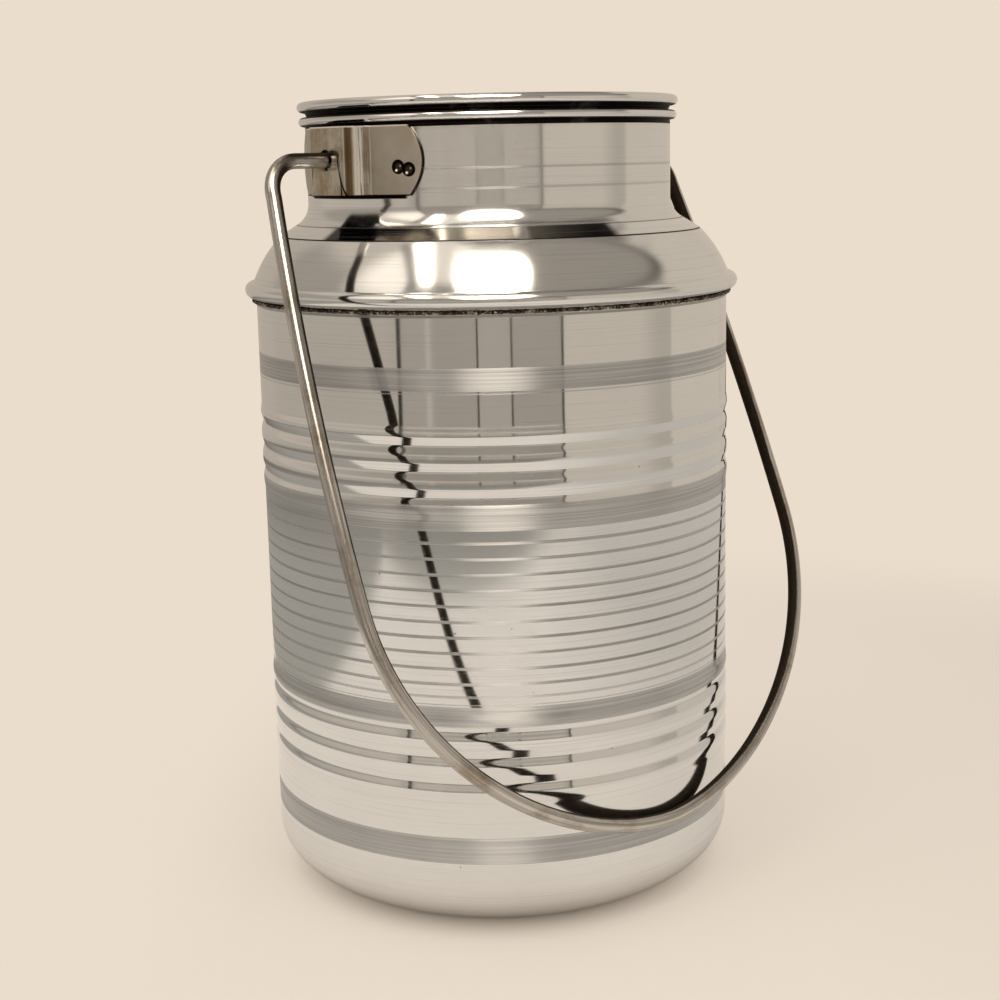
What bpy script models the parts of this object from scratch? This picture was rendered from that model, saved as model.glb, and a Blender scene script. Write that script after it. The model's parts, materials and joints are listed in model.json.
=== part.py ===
"""Five litre stainless steel milk can.

A drawn body with two groups of rolled ribs, a spun shoulder and neck whose
lower edge is rolled over the body's rim, a weld run under that roll, two ears
welded to the neck, a swinging wire bail, and a recessed plug lid with a strap
grip in its dish.

Frame: metres, +Z up, origin at the centre of the flat base. The bail's pivot
axis lies along X, and the bail rests against the front (-Y) of the body.
"""
import math

import bmesh
import bpy

MM = 0.001

# Sheet, clearance and roundness
SHEET = 0.8 * MM                 # pressed and spun sheet
EAR_SHEET = 1.2 * MM             # strap that the ears and the grip are bent from
GAP = 0.3 * MM                   # clearance between welded or resting pieces
SIDES = 40                       # steps round every turned piece

# Body
BODY_RADIUS = 82.0 * MM          # outer face of the straight wall
BODY_TOP = 212.0 * MM
CORNER_RUN = 30.0 * MM           # elliptical bottom corner, inwards
CORNER_RISE = 20.0 * MM          # and upwards
RIB_GROUPS = (                   # top of each group of three grooves, and groove to groove
    (BODY_TOP - 39.5 * MM, 8.3 * MM),
    (BODY_TOP - 132.6 * MM, 8.75 * MM),
)
RIB_LEAD = 6.2 * MM              # start of a group to its first groove
RIB_RETURN = 7.8 * MM            # last groove back to the plain wall
RIB_PROUD = 0.35 * MM            # a rib's crest outside the plain wall
RIB_FLANK = 2.6 * MM             # height of the slope from a groove up to the crest
RIB_TURN_IN = 3.6 * MM           # height of the slower turn from the crest in to the next groove
GROOVE_DEPTH = 0.35 * MM         # a groove inside the plain wall

# Shoulder and neck
NECK_STEP = 19.2 * MM            # how far the neck stands inside the body wall
NECK_RADIUS = BODY_RADIUS - NECK_STEP
RIM_CENTRE_Z = 267.3 * MM        # rolled rim of the neck
RIM_ROLL = 1.5 * MM              # outer radius of the rim's roll
NECK_STRAIGHT = 26.3 * MM        # rim down to where the neck turns out into the shoulder
FILLET_TOP_Z = RIM_CENTRE_Z - NECK_STRAIGHT
FILLET_RADIUS = 9.4 * MM
FILLET_TURN = 58.0               # degrees from vertical where the hollow curve ends
CREASE_RUN = 6.3 * MM            # straight slope from there to the crease
CREASE_TURN = 47.0               # degrees from vertical just below the crease
BEAD_CENTRE_Z = BODY_TOP - 0.7 * MM  # roll that closes shoulder over body
BEAD_ROLL = 2.6 * MM             # outer radius of that roll
BEAD_PROUD = 3.8 * MM            # roll's outer edge beyond the body wall
BEAD_TUCK = -110.0               # degrees where the rolled edge stops, under the roll
BEAD_START = 107.0               # degrees where the dome meets the roll
ROLL_START = 180.0               # degrees where a rolled edge leaves its wall
ROLL_STOP = -100.0               # degrees where it ends, tucked under itself

# Weld run under the roll
WELD_HEIGHT = 2.3 * MM
WELD_WIDTH = 1.6 * MM

# Ears
EAR_HEIGHT = 22.0 * MM
EAR_CENTRE_Z = RIM_CENTRE_Z - 13.4 * MM
EAR_STANDOFF = 8.5 * MM          # outer face of the raised plate beyond the neck
EAR_REACH = NECK_RADIUS + EAR_STANDOFF
EAR_PLATE_HALF = 7.9 * MM        # half width of the raised plate
EAR_FOOT_ANGLE = 11.5            # degrees where the flange starts to follow the neck
EAR_CORNER_ANGLE = 23.8          # degrees where the flange's straight edges end
EAR_TIP_ANGLE = 28.0             # degrees at the middle of its rounded end
EAR_HOLE_RADIUS = 3.1 * MM

# Bail
PIVOT_Z = EAR_CENTRE_Z + 0.5 * MM
WIRE_RADIUS = 2.5 * MM
BAIL_SLIDE = -2.0 * MM           # end play: the bail lies over to the -X ear
BAIL_HEAD_RADIUS = 3.7 * MM      # upset end behind the ear's plate
BAIL_HEAD_LENGTH = 1.5 * MM
BAIL_BEND = 12.0 * MM            # radius of the bend from pin to leg
BAIL_TOP_HALF = EAR_REACH + 21.9 * MM    # half width at the top of the legs
BAIL_MID_HALF = BAIL_TOP_HALF + 6.8 * MM # half way down the legs
BAIL_LOW_HALF = BAIL_TOP_HALF + 9.1 * MM # where the bow starts
BAIL_LEG_DROP = 142.0 * MM       # pivot axis to the start of the bow
BAIL_CLEAR = 20.0 * MM           # the bow's bottom stays this far above the base
BAIL_DROP = PIVOT_Z - BAIL_CLEAR # pivot axis to the bottom of the bow
BOW_POWER = 1.12                 # 1 is an ellipse, more draws the bow in towards its middle

# Lid
LID_RIM_Z = RIM_CENTRE_Z + 4.9 * MM  # centre of the lid's rolled rim
LID_ROLL = 1.65 * MM             # outer radius of that roll
LID_RIM_RADIUS = NECK_RADIUS + 2.7 * MM  # outer edge of the lid
LID_DEPTH = 17.3 * MM            # neck's rim down to the underside of the dish
LID_FLOOR_Z = RIM_CENTRE_Z - LID_DEPTH
LID_TAPER = 0.7 * MM             # plug wall leans in by this much
LID_CORNER = 4.0 * MM            # radius of the dish's corner
LID_PANEL_RADIUS = NECK_RADIUS - 19.8 * MM   # raised middle panel of the dish
LID_PANEL_RISE = 1.4 * MM

# Grip in the lid's dish
GRIP_WIDTH = 15.0 * MM
GRIP_HEIGHT = 14.5 * MM
GRIP_HALF_SPAN = 22.0 * MM       # half length of the raised bar
GRIP_FOOT = 13.0 * MM            # length of each welded foot
GRIP_SPREAD = 3.0 * MM           # how far each riser leans out
GRIP_END_BULGE = 3.0 * MM        # roundness of the feet's ends


def arc(centre, radii, start, end, steps):
    """(r, z) points on an arc or ellipse, both ends included, angles in degrees."""
    points = []
    for step in range(steps + 1):
        angle = math.radians(start + (end - start) * step / steps)
        points.append((centre[0] + radii[0] * math.cos(angle),
                       centre[1] + radii[1] * math.sin(angle)))
    return points


def circle_arc(centre, radius, start, end, steps):
    """(r, z) points on a round arc."""
    return arc(centre, (radius, radius), start, end, steps)


def sheet_section(path, thickness):
    """Closed outline of a sheet that follows a path: its left side, then its right side back."""
    left, right = [], []
    half = thickness / 2
    for index, (x, y) in enumerate(path):
        before = path[max(index - 1, 0)]
        after = path[min(index + 1, len(path) - 1)]
        normals = []
        for start, end in ((before, (x, y)), ((x, y), after)):
            length = math.dist(start, end)
            if length > 0:
                normals.append(((start[1] - end[1]) / length, (end[0] - start[0]) / length))
        nx = sum(n[0] for n in normals) / len(normals)
        ny = sum(n[1] for n in normals) / len(normals)
        stretch = half / (nx * nx + ny * ny)
        left.append((x + nx * stretch, y + ny * stretch))
        right.append((x - nx * stretch, y - ny * stretch))
    return left + right[::-1]


def metal(name, colour, roughness):
    """Bare metal with the given linear colour."""
    material = bpy.data.materials.new(name)
    material.use_nodes = True
    shader = material.node_tree.nodes["Principled BSDF"]
    shader.inputs["Base Color"].default_value = (*colour, 1.0)
    shader.inputs["Metallic"].default_value = 1.0
    shader.inputs["Roughness"].default_value = roughness
    material.diffuse_color = (*colour, 1.0)
    return material


def place(name, data, material, location=(0.0, 0.0, 0.0), rotation=(0.0, 0.0, 0.0)):
    """Link data to the scene as a named object with its own material."""
    obj = bpy.data.objects.new(name, data)
    bpy.context.scene.collection.objects.link(obj)
    obj.location = location
    obj.rotation_euler = rotation
    data.materials.append(material)
    return obj


def turned(name, section, material, meets_axis=False):
    """Turn a section of (r, z) points, outer side from top to bottom, about Z."""
    edges = [(index, index + 1) for index in range(len(section) - 1)]
    if not meets_axis:
        edges.append((len(section) - 1, 0))
    mesh = bpy.data.meshes.new(name)
    mesh.from_pydata([(r, 0.0, z) for r, z in section], edges, [])
    obj = place(name, mesh, material)
    screw = obj.modifiers.new("Turn", "SCREW")
    screw.axis = "Z"
    screw.angle = 2 * math.pi
    screw.steps = SIDES
    screw.render_steps = SIDES
    screw.use_merge_vertices = True
    screw.merge_threshold = 0.01 * MM
    screw.use_smooth_shade = True
    return obj


def rolled_edge(wall_radius, centre_z, roll_radius):
    """Path of an edge rolled outwards, from the wall over the top and under."""
    bend = roll_radius - SHEET / 2
    return circle_arc((wall_radius + bend, centre_z), bend, ROLL_START, ROLL_STOP, 7)


def rib_group(top, pitch, wall):
    """Path up through three sharp grooves with raised crests above and below each."""
    crest = wall + RIB_PROUD
    groove = wall - GROOVE_DEPTH
    lowest = top - RIB_LEAD - 2 * pitch
    path = [(wall, lowest - RIB_RETURN)]
    for groove_z in (lowest, lowest + pitch, lowest + 2 * pitch):
        path += [(crest, groove_z - RIB_TURN_IN),
                 (groove, groove_z),
                 (crest, groove_z + RIB_FLANK)]
    path.append((wall, top))
    return path


def build_body():
    """Drawn cup: flat base, elliptical corner, ribbed wall."""
    wall = BODY_RADIUS - SHEET / 2
    floor = SHEET / 2
    corner = arc((wall - CORNER_RUN, floor + CORNER_RISE), (CORNER_RUN, CORNER_RISE), -90.0, 0.0, 7)
    path = [(0.0, floor)] + corner
    for top, pitch in reversed(RIB_GROUPS):
        path += rib_group(top, pitch, wall)
    path.append((wall, BODY_TOP))
    return turned("body_shell", sheet_section(path, SHEET), metal("polished body", (0.62, 0.60, 0.56), 0.16),
                  meets_axis=True)


def shoulder_path():
    """From under the closing roll, over it, up the dome and the neck to the rolled rim."""
    bend = BEAD_ROLL - SHEET / 2
    bead_centre = (BODY_RADIUS + BEAD_PROUD - BEAD_ROLL, BEAD_CENTRE_Z)
    bead = circle_arc(bead_centre, bend, BEAD_TUCK, BEAD_START, 7)
    neck = NECK_RADIUS - SHEET / 2
    fillet_bend = FILLET_RADIUS + SHEET / 2
    fillet = circle_arc((neck + fillet_bend, FILLET_TOP_Z), fillet_bend,
                        ROLL_START, ROLL_START + FILLET_TURN, 4)
    turn = math.radians(FILLET_TURN)
    crease = (fillet[-1][0] + CREASE_RUN * math.sin(turn), fillet[-1][1] - CREASE_RUN * math.cos(turn))
    reach = bead[-1][0] - crease[0]
    drop = crease[1] - bead[-1][1]
    end_turn = 2 * math.degrees(math.atan2(reach, drop)) - CREASE_TURN
    dome_bend = math.hypot(reach, drop) / (2 * math.sin(math.radians(CREASE_TURN - end_turn) / 2))
    turn = math.radians(CREASE_TURN)
    dome_centre = (crease[0] - dome_bend * math.cos(turn), crease[1] - dome_bend * math.sin(turn))
    dome = circle_arc(dome_centre, dome_bend, end_turn, CREASE_TURN, 5)
    rim = rolled_edge(neck, RIM_CENTRE_Z, RIM_ROLL)
    return bead + dome[1:] + fillet[::-1] + rim


def build_shoulder():
    """Spun shoulder and neck in one piece."""
    return turned("shoulder_neck", sheet_section(shoulder_path(), SHEET),
                  metal("polished shoulder", (0.66, 0.64, 0.60), 0.14))


def build_weld():
    """Run of weld metal in the corner between the closing roll and the body."""
    inner = BODY_RADIUS + GAP
    top = BEAD_CENTRE_Z - BEAD_ROLL - GAP
    section = [(inner, top - WELD_HEIGHT),
               (inner, top),
               (inner + WELD_WIDTH * 0.75, top),
               (inner + WELD_WIDTH, top - WELD_HEIGHT * 0.3),
               (inner + WELD_WIDTH * 0.5, top - WELD_HEIGHT * 0.8)]
    return turned("seam_weld", section, metal("weld metal", (0.16, 0.14, 0.12), 0.6))


def lofted_strip(name, rows, material, **placing):
    """Bent strip through rows of (height, path); every path has the same number of points."""
    mesh = bpy.data.meshes.new(name)
    work = bmesh.new()
    loops = []
    for height, path in rows:
        loops.append([work.verts.new((x, y, height)) for x, y in sheet_section(path, EAR_SHEET)])
    for lower, upper in zip(loops, loops[1:]):
        for index in range(len(lower)):
            following = (index + 1) % len(lower)
            work.faces.new((lower[index], lower[following], upper[following], upper[index]))
    work.faces.new(loops[0][::-1])
    work.faces.new(loops[-1])
    bmesh.ops.recalc_face_normals(work, faces=work.faces)
    work.to_mesh(mesh)
    work.free()
    return place(name, mesh, material, **placing)


def strip_rows(half_width, path_for):
    """Rows across a strip; path_for takes how far a row is into the rounded ends, 0 to 1."""
    rows = []
    for fraction in (-1.0, -0.8, -0.45, 0.0, 0.45, 0.8, 1.0):
        rows.append((fraction * half_width, path_for(1.0 - fraction * fraction)))
    return rows


def ear_path(bulge):
    """Plan of an ear on the +X side: flange, riser, raised plate, riser, flange."""
    seat = NECK_RADIUS + GAP + EAR_SHEET / 2
    plate = EAR_REACH - EAR_SHEET / 2
    tip = EAR_CORNER_ANGLE + (EAR_TIP_ANGLE - EAR_CORNER_ANGLE) * bulge
    flange = circle_arc((0.0, 0.0), seat, tip, EAR_FOOT_ANGLE, 4)
    half = EAR_PLATE_HALF - EAR_SHEET / 2
    riser = [(seat + 1.0 * MM, half + 3.2 * MM),
             (seat + 2.7 * MM, half + 1.5 * MM),
             (plate - 1.2 * MM, half + 0.4 * MM),
             (plate - 0.3 * MM, half - 0.2 * MM),
             (plate, half - 1.3 * MM)]
    side = flange + riser
    return side + [(x, -y) for x, y in reversed(side)]


def build_ear(name, turn):
    """Hat shaped ear with D ended flanges and a pivot hole, welded to the neck."""
    ear = lofted_strip(name, strip_rows(EAR_HEIGHT / 2, ear_path), metal(name + " steel", (0.42, 0.38, 0.32), 0.3),
                       location=(0.0, 0.0, EAR_CENTRE_Z), rotation=(0.0, 0.0, turn))
    drill_mesh = bpy.data.meshes.new(name + "_drill")
    work = bmesh.new()
    bmesh.ops.create_cone(work, cap_ends=True, segments=20, radius1=EAR_HOLE_RADIUS, radius2=EAR_HOLE_RADIUS,
                          depth=12.0 * MM)
    work.to_mesh(drill_mesh)
    work.free()
    drill = bpy.data.objects.new(name + "_drill", drill_mesh)
    bpy.context.scene.collection.objects.link(drill)
    drill.location = (EAR_REACH * math.cos(turn), EAR_REACH * math.sin(turn), PIVOT_Z)
    drill.rotation_euler = (0.0, math.pi / 2, 0.0)
    drill.hide_render = True
    drill.display_type = "WIRE"
    hole = ear.modifiers.new("Pivot hole", "BOOLEAN")
    hole.operation = "DIFFERENCE"
    hole.object = drill
    return ear


def bail_half():
    """One side of the bail as (x, z, thickness) from its upset end to the bottom of the bow."""
    head_ratio = BAIL_HEAD_RADIUS / WIRE_RADIUS
    plate_inside = EAR_REACH - EAR_SHEET
    head_end = plate_inside - GAP + BAIL_SLIDE
    points = [(head_end - BAIL_HEAD_LENGTH, 0.0, head_ratio),
              (head_end, 0.0, head_ratio),
              (head_end + 0.2 * MM, 0.0, 1.0)]
    bend_start = BAIL_TOP_HALF - BAIL_BEND
    for x, z in circle_arc((bend_start, -BAIL_BEND), BAIL_BEND, 90.0, 0.0, 6):
        points.append((x, z, 1.0))
    leg_steps = 5
    for step in range(1, leg_steps + 1):
        t = step / leg_steps
        x = (BAIL_TOP_HALF * (1 - t) * (1 - 2 * t) + BAIL_MID_HALF * 4 * t * (1 - t)
             + BAIL_LOW_HALF * t * (2 * t - 1))
        points.append((x, -BAIL_BEND - (BAIL_LEG_DROP - BAIL_BEND) * t, 1.0))
    bow_steps = 10
    for step in range(1, bow_steps + 1):
        angle = math.radians(90.0 * step / bow_steps)
        points.append((BAIL_LOW_HALF * max(math.cos(angle), 0.0) ** BOW_POWER,
                       -BAIL_LEG_DROP - (BAIL_DROP - BAIL_LEG_DROP) * math.sin(angle), 1.0))
    return points


def build_bail():
    """Round wire bail, hinged on its turned-in ends, lying against the front of the body."""
    half = bail_half()
    points = half + [(-x, z, thickness) for x, z, thickness in reversed(half[:-1])]
    curve = bpy.data.curves.new("bail_handle", "CURVE")
    curve.dimensions = "3D"
    curve.bevel_depth = WIRE_RADIUS
    curve.bevel_resolution = 4
    curve.use_fill_caps = True
    spline = curve.splines.new("POLY")
    spline.points.add(len(points) - 1)
    for point, (x, z, thickness) in zip(spline.points, points):
        point.co = (x, 0.0, z, 1.0)
        point.radius = thickness
    lean = math.asin((BODY_RADIUS + WIRE_RADIUS + GAP) / BAIL_DROP)
    return place("bail_handle", curve, metal("bail wire", (0.50, 0.47, 0.42), 0.2),
                 location=(BAIL_SLIDE, 0.0, PIVOT_Z), rotation=(-lean, 0.0, 0.0))


def build_lid():
    """Dish with a raised middle panel, a tapered plug wall and a rolled rim."""
    wall = LID_RIM_RADIUS - 2 * LID_ROLL + SHEET / 2
    plug = NECK_RADIUS - SHEET - GAP - SHEET / 2
    low = plug - LID_TAPER
    floor = LID_FLOOR_Z + SHEET / 2
    corner_z = floor + LID_CORNER
    path = [(0.0, floor + LID_PANEL_RISE),
            (LID_PANEL_RADIUS, floor + LID_PANEL_RISE),
            (LID_PANEL_RADIUS + 1.8 * MM, floor)]
    path += circle_arc((low - LID_CORNER, corner_z), LID_CORNER, -90.0, 0.0, 4)
    path += [(plug, RIM_CENTRE_Z),
             (plug + 0.45 * MM, RIM_CENTRE_Z + RIM_ROLL + 0.4 * MM),
             (wall, LID_RIM_Z - LID_ROLL)]
    path += rolled_edge(wall, LID_RIM_Z, LID_ROLL)
    return turned("lid_pan", sheet_section(path, SHEET), metal("polished lid", (0.66, 0.64, 0.60), 0.14),
                  meets_axis=True)


def grip_path(bulge):
    """Side view of the strap grip: foot, riser, bar, riser, foot."""
    top = GRIP_HEIGHT - EAR_SHEET / 2
    low = EAR_SHEET / 2
    bar = GRIP_HALF_SPAN
    riser_foot = bar + GRIP_SPREAD
    side = [(-riser_foot - GRIP_FOOT - GRIP_END_BULGE * (bulge - 1.0), low),
            (-riser_foot - 1.2 * MM, low),
            (-riser_foot + 0.1 * MM, low + 1.0 * MM),
            (-bar - 0.5 * MM, top - 2.4 * MM),
            (-bar + 0.5 * MM, top - 0.8 * MM),
            (-bar + 2.2 * MM, top)]
    return side + [(-x, z) for x, z in reversed(side)]


def build_grip():
    """Strap grip that stands in the lid's dish, below its rim."""
    seat = LID_FLOOR_Z + SHEET + LID_PANEL_RISE + GAP
    return lofted_strip("lid_grip", strip_rows(GRIP_WIDTH / 2, grip_path), metal("grip strap", (0.58, 0.56, 0.52), 0.2),
                        location=(0.0, 0.0, seat), rotation=(math.pi / 2, 0.0, 0.0))


def main():
    for obj in list(bpy.data.objects):
        bpy.data.objects.remove(obj)
    build_body()
    build_shoulder()
    build_weld()
    build_ear("ear_left", math.pi)
    build_ear("ear_right", 0.0)
    build_bail()
    build_lid()
    build_grip()


main()
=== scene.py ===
# %% [markdown]
# # A stainless steel milk can
#
# The real can is a five litre churn: a deep drawn body, a spun shoulder and neck
# closed over it with a rolled seam, a pressed lid that plugs the neck, and a wire
# bail that swings in two ears welded to the neck. Nearly all of it is polished
# sheet, so its look is the look of what it mirrors. The shapes therefore have to
# be smooth to a fraction of a degree, and the studio round the can matters as
# much as the metal does.
#
# The CAD model comes first. It gives every size and place, in metres, with +Z up
# and the origin in the middle of the base. The bail's pivots lie along X, and the
# bail rests against the front, -Y.

import json
import math

import bmesh
import bpy
from mathutils import Matrix, Vector


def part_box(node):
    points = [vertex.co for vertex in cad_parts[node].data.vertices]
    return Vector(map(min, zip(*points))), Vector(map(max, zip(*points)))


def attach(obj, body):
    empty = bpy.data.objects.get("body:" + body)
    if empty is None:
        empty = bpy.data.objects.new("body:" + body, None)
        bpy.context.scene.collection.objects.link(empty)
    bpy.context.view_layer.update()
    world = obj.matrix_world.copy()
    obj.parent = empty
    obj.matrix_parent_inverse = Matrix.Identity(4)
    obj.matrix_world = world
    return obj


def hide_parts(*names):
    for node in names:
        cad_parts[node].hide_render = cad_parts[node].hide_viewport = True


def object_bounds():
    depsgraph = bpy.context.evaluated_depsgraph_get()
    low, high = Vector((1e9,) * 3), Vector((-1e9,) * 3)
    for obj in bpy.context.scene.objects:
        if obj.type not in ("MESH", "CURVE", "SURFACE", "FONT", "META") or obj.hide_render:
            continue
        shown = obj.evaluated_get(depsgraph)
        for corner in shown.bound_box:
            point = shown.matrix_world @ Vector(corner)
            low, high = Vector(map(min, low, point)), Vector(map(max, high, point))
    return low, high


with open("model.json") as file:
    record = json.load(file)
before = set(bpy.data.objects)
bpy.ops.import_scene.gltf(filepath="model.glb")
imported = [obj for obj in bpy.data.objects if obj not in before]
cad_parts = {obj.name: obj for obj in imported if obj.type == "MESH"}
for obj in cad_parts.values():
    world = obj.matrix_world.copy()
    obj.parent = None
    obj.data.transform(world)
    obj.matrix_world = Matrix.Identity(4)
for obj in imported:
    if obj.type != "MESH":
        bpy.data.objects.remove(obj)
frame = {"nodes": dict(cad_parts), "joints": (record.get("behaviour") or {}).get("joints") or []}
cad_low, cad_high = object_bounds()
MM = 0.001

for node_name in sorted(frame["nodes"]):
    node_low, node_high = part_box(node_name)
    print(node_name, [round(side / MM, 1) for side in node_high - node_low], "mm")

# %% [markdown]
# ## Sizes
#
# The main sizes are read from the CAD boxes, so the look always fits the part.
# Only the small features that no box can tell are written here: the thickness of
# the sheet, the ribs, the rolls and the satin bands.

# %% Sizes
SHEET = 0.8 * MM                 # pressed and spun sheet
STRAP = 1.2 * MM                 # strip that the ears and the grip are bent from
GAP = 0.3 * MM                   # clearance between resting pieces
TURN_STEPS = 180                 # steps round every turned piece

RIB_PROUD = 0.35 * MM
body_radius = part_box("body_shell")[1].x - RIB_PROUD
body_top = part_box("body_shell")[1].z
shoulder_low, shoulder_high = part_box("shoulder_neck")
lid_low, lid_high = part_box("lid_pan")
ear_low, ear_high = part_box("ear_left")
bail_low, bail_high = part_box("bail_handle")
grip_low, grip_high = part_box("lid_grip")
weld_low, weld_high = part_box("seam_weld")
print("body", round(2 * body_radius / MM, 1), "mm across, lid", round(2 * lid_high.x / MM, 1), "mm")

# %% [markdown]
# ## Camera
#
# A short telephoto lens stands a little above the middle of the can and looks
# slightly down, from in front and to the left, so that one ear and the inside of
# the bail both show. Its place and its three turns are set first, because every
# later step is judged through it.

# %% Camera
CAMERA_REACH = 615.1 * MM        # from the can's axis
CAMERA_HEIGHT = 253.4 * MM
CAMERA_AZIMUTH = -43.0           # degrees, from the front towards the left ear
CAMERA_YAW = 0.127
CAMERA_PITCH = 11.071            # degrees downwards
CAMERA_ROLL = -1.286
LENS = 62.59                     # millimetres, on a 36 mm sensor

camera = bpy.data.objects.new("camera", bpy.data.cameras.new("camera"))
bpy.context.scene.collection.objects.link(camera)
camera.data.lens = LENS
camera.data.sensor_width = 36.0
camera.data.clip_start = 0.01
camera.data.clip_end = 50.0
turn = Matrix.Rotation(math.radians(CAMERA_AZIMUTH), 4, "Z")
stand = Matrix.Translation((0.0, -CAMERA_REACH, CAMERA_HEIGHT))
yaw = Matrix.Rotation(-math.radians(CAMERA_YAW), 4, "Z")
tilt = Matrix.Rotation(math.radians(90.0 - CAMERA_PITCH), 4, "X")
roll = Matrix.Rotation(math.radians(CAMERA_ROLL), 4, "Z")
camera.matrix_world = turn @ stand @ yaw @ tilt @ roll
bpy.context.scene.camera = camera
bpy.context.scene.view_settings.view_transform = "Standard"
print("camera at", [round(value, 4) for value in camera.matrix_world.translation])

# %% [markdown]
# ## Colours and nodes
#
# Colours are picked as they look on a screen, as hex values, and Blender wants
# them linear, so one function turns them. One more function adds a node, sets
# its options and joins its inputs: a plain value is written on the socket, and an
# output of another node is linked to it.

# %% Helpers for materials
def linear(hex_value):
    """Linear colour from an sRGB hex value such as "C8C4BC"."""
    channels = []
    for start in (0, 2, 4):
        value = int(hex_value[start:start + 2], 16) / 255.0
        channels.append(value / 12.92 if value <= 0.04045 else ((value + 0.055) / 1.055) ** 2.4)
    return (*channels, 1.0)


def add(tree, kind, inputs=None, stops=(), **settings):
    """Add a node, set its options and its (position, hex) colour stops, then fill or link its inputs."""
    node = tree.nodes.new(kind)
    for name, value in settings.items():
        setattr(node, name, value)
    for index in (0, -1) if stops else ():
        node.color_ramp.elements[index].position = stops[index][0]
        node.color_ramp.elements[index].color = linear(stops[index][1])
    for position, colour in stops[1:-1]:
        node.color_ramp.elements.new(position).color = linear(colour)
    for key, value in (inputs or {}).items():
        socket = node.inputs[key]
        if isinstance(value, bpy.types.NodeSocket):
            tree.links.new(value, socket)
        else:
            socket.default_value = linear(value) if socket.type == "RGBA" else value
    return node


def new_material(name):
    """Empty node material and its tree."""
    material = bpy.data.materials.new(name)
    material.use_nodes = True
    material.node_tree.nodes.clear()
    return material, material.node_tree


# %% [markdown]
# ## Shapes by turning
#
# A drawn or spun piece is one section turned about the axis, so its rule is
# written once as a small Geometry Nodes tree: the section is an outline of
# (radius, height) points, it is carried round a tiny circle on the axis, and its
# poles are closed. The section keeps how far along the sheet each point lies, in
# an attribute named along, which the brushing later follows.

# %% Outlines
def arc(centre, radii, start, end, steps):
    """(r, z) points on an arc or ellipse, both ends included, angles in degrees."""
    points = []
    for step in range(steps + 1):
        angle = math.radians(start + (end - start) * step / steps)
        points.append((centre[0] + radii[0] * math.cos(angle),
                       centre[1] + radii[1] * math.sin(angle)))
    return points


def round_arc(centre, radius, start, end, steps):
    """(r, z) points on a round arc."""
    return arc(centre, (radius, radius), start, end, steps)


def refine(path, longest):
    """The same path with no step longer than the given length."""
    points = [path[0]]
    for before, after in zip(path, path[1:]):
        parts = max(1, math.ceil(math.dist(before, after) / longest))
        for part in range(1, parts + 1):
            share = part / parts
            points.append(tuple(a + (b - a) * share for a, b in zip(before, after)))
    return points


def soften(path, rounds):
    """Cut the corners of an open path again and again, which rounds them."""
    for _ in range(rounds):
        cut = [path[0]]
        for before, after in zip(path, path[1:]):
            cut.append(tuple(0.75 * a + 0.25 * b for a, b in zip(before, after)))
            cut.append(tuple(0.25 * a + 0.75 * b for a, b in zip(before, after)))
        path = cut + [path[-1]]
    return path


def sheet_outline(path, thickness):
    """Closed outline of a sheet that follows a path: its left side, then its right side back."""
    left, right = [], []
    half = thickness / 2
    for index, (x, y) in enumerate(path):
        before = path[max(index - 1, 0)]
        after = path[min(index + 1, len(path) - 1)]
        normals = []
        for start, end in ((before, (x, y)), ((x, y), after)):
            length = math.dist(start, end)
            if length > 0:
                normals.append(((start[1] - end[1]) / length, (end[0] - start[0]) / length))
        nx = sum(n[0] for n in normals) / len(normals)
        ny = sum(n[1] for n in normals) / len(normals)
        stretch = half / (nx * nx + ny * ny)
        left.append((x + nx * stretch, y + ny * stretch))
        right.append((x - nx * stretch, y - ny * stretch))
    return left + right[::-1]


# %% The turning tree
AXIS_STEP = 0.5 * MM             # radius of the tiny circle that carries a section
ATTRIBUTE = "along"              # millimetres along the sheet, kept for the brushing


def new_tree(name, sockets):
    """Geometry Nodes tree with named inputs after its geometry."""
    tree = bpy.data.node_groups.new(name, "GeometryNodeTree")
    tree.interface.new_socket("Geometry", in_out="INPUT", socket_type="NodeSocketGeometry")
    for label, kind in sockets:
        tree.interface.new_socket(label, in_out="INPUT", socket_type=kind)
    tree.interface.new_socket("Geometry", in_out="OUTPUT", socket_type="NodeSocketGeometry")
    return tree


def finish_tree(tree, shape, material):
    """Close a tree: smooth shading, plain mesh, its material, and the output."""
    smooth = add(tree, "GeometryNodeSetShadeSmooth", {"Geometry": shape})
    real = add(tree, "GeometryNodeRealizeInstances", {"Geometry": smooth.outputs[0]})
    coated = add(tree, "GeometryNodeSetMaterial", {"Geometry": real.outputs[0], "Material": material})
    add(tree, "NodeGroupOutput", {"Geometry": coated.outputs[0]})


def turning_tree():
    """Turn a section about Z: inputs for the steps round and the material."""
    tree = new_tree("Turn a section", [("Steps", "NodeSocketInt"), ("Material", "NodeSocketMaterial")])
    given = add(tree, "NodeGroupInput").outputs
    section = add(tree, "GeometryNodeMeshToCurve", {"Mesh": given["Geometry"]})
    axis = add(tree, "GeometryNodeCurvePrimitiveCircle", {"Resolution": given["Steps"], "Radius": AXIS_STEP})
    swept = add(tree, "GeometryNodeCurveToMesh", {"Curve": axis.outputs["Curve"],
                                                  "Profile Curve": section.outputs["Curve"]})
    closed = add(tree, "GeometryNodeMergeByDistance", {"Geometry": swept.outputs["Mesh"],
                                                       "Distance": 0.005 * MM})
    finish_tree(tree, closed.outputs[0], given["Material"])
    return tree


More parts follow.
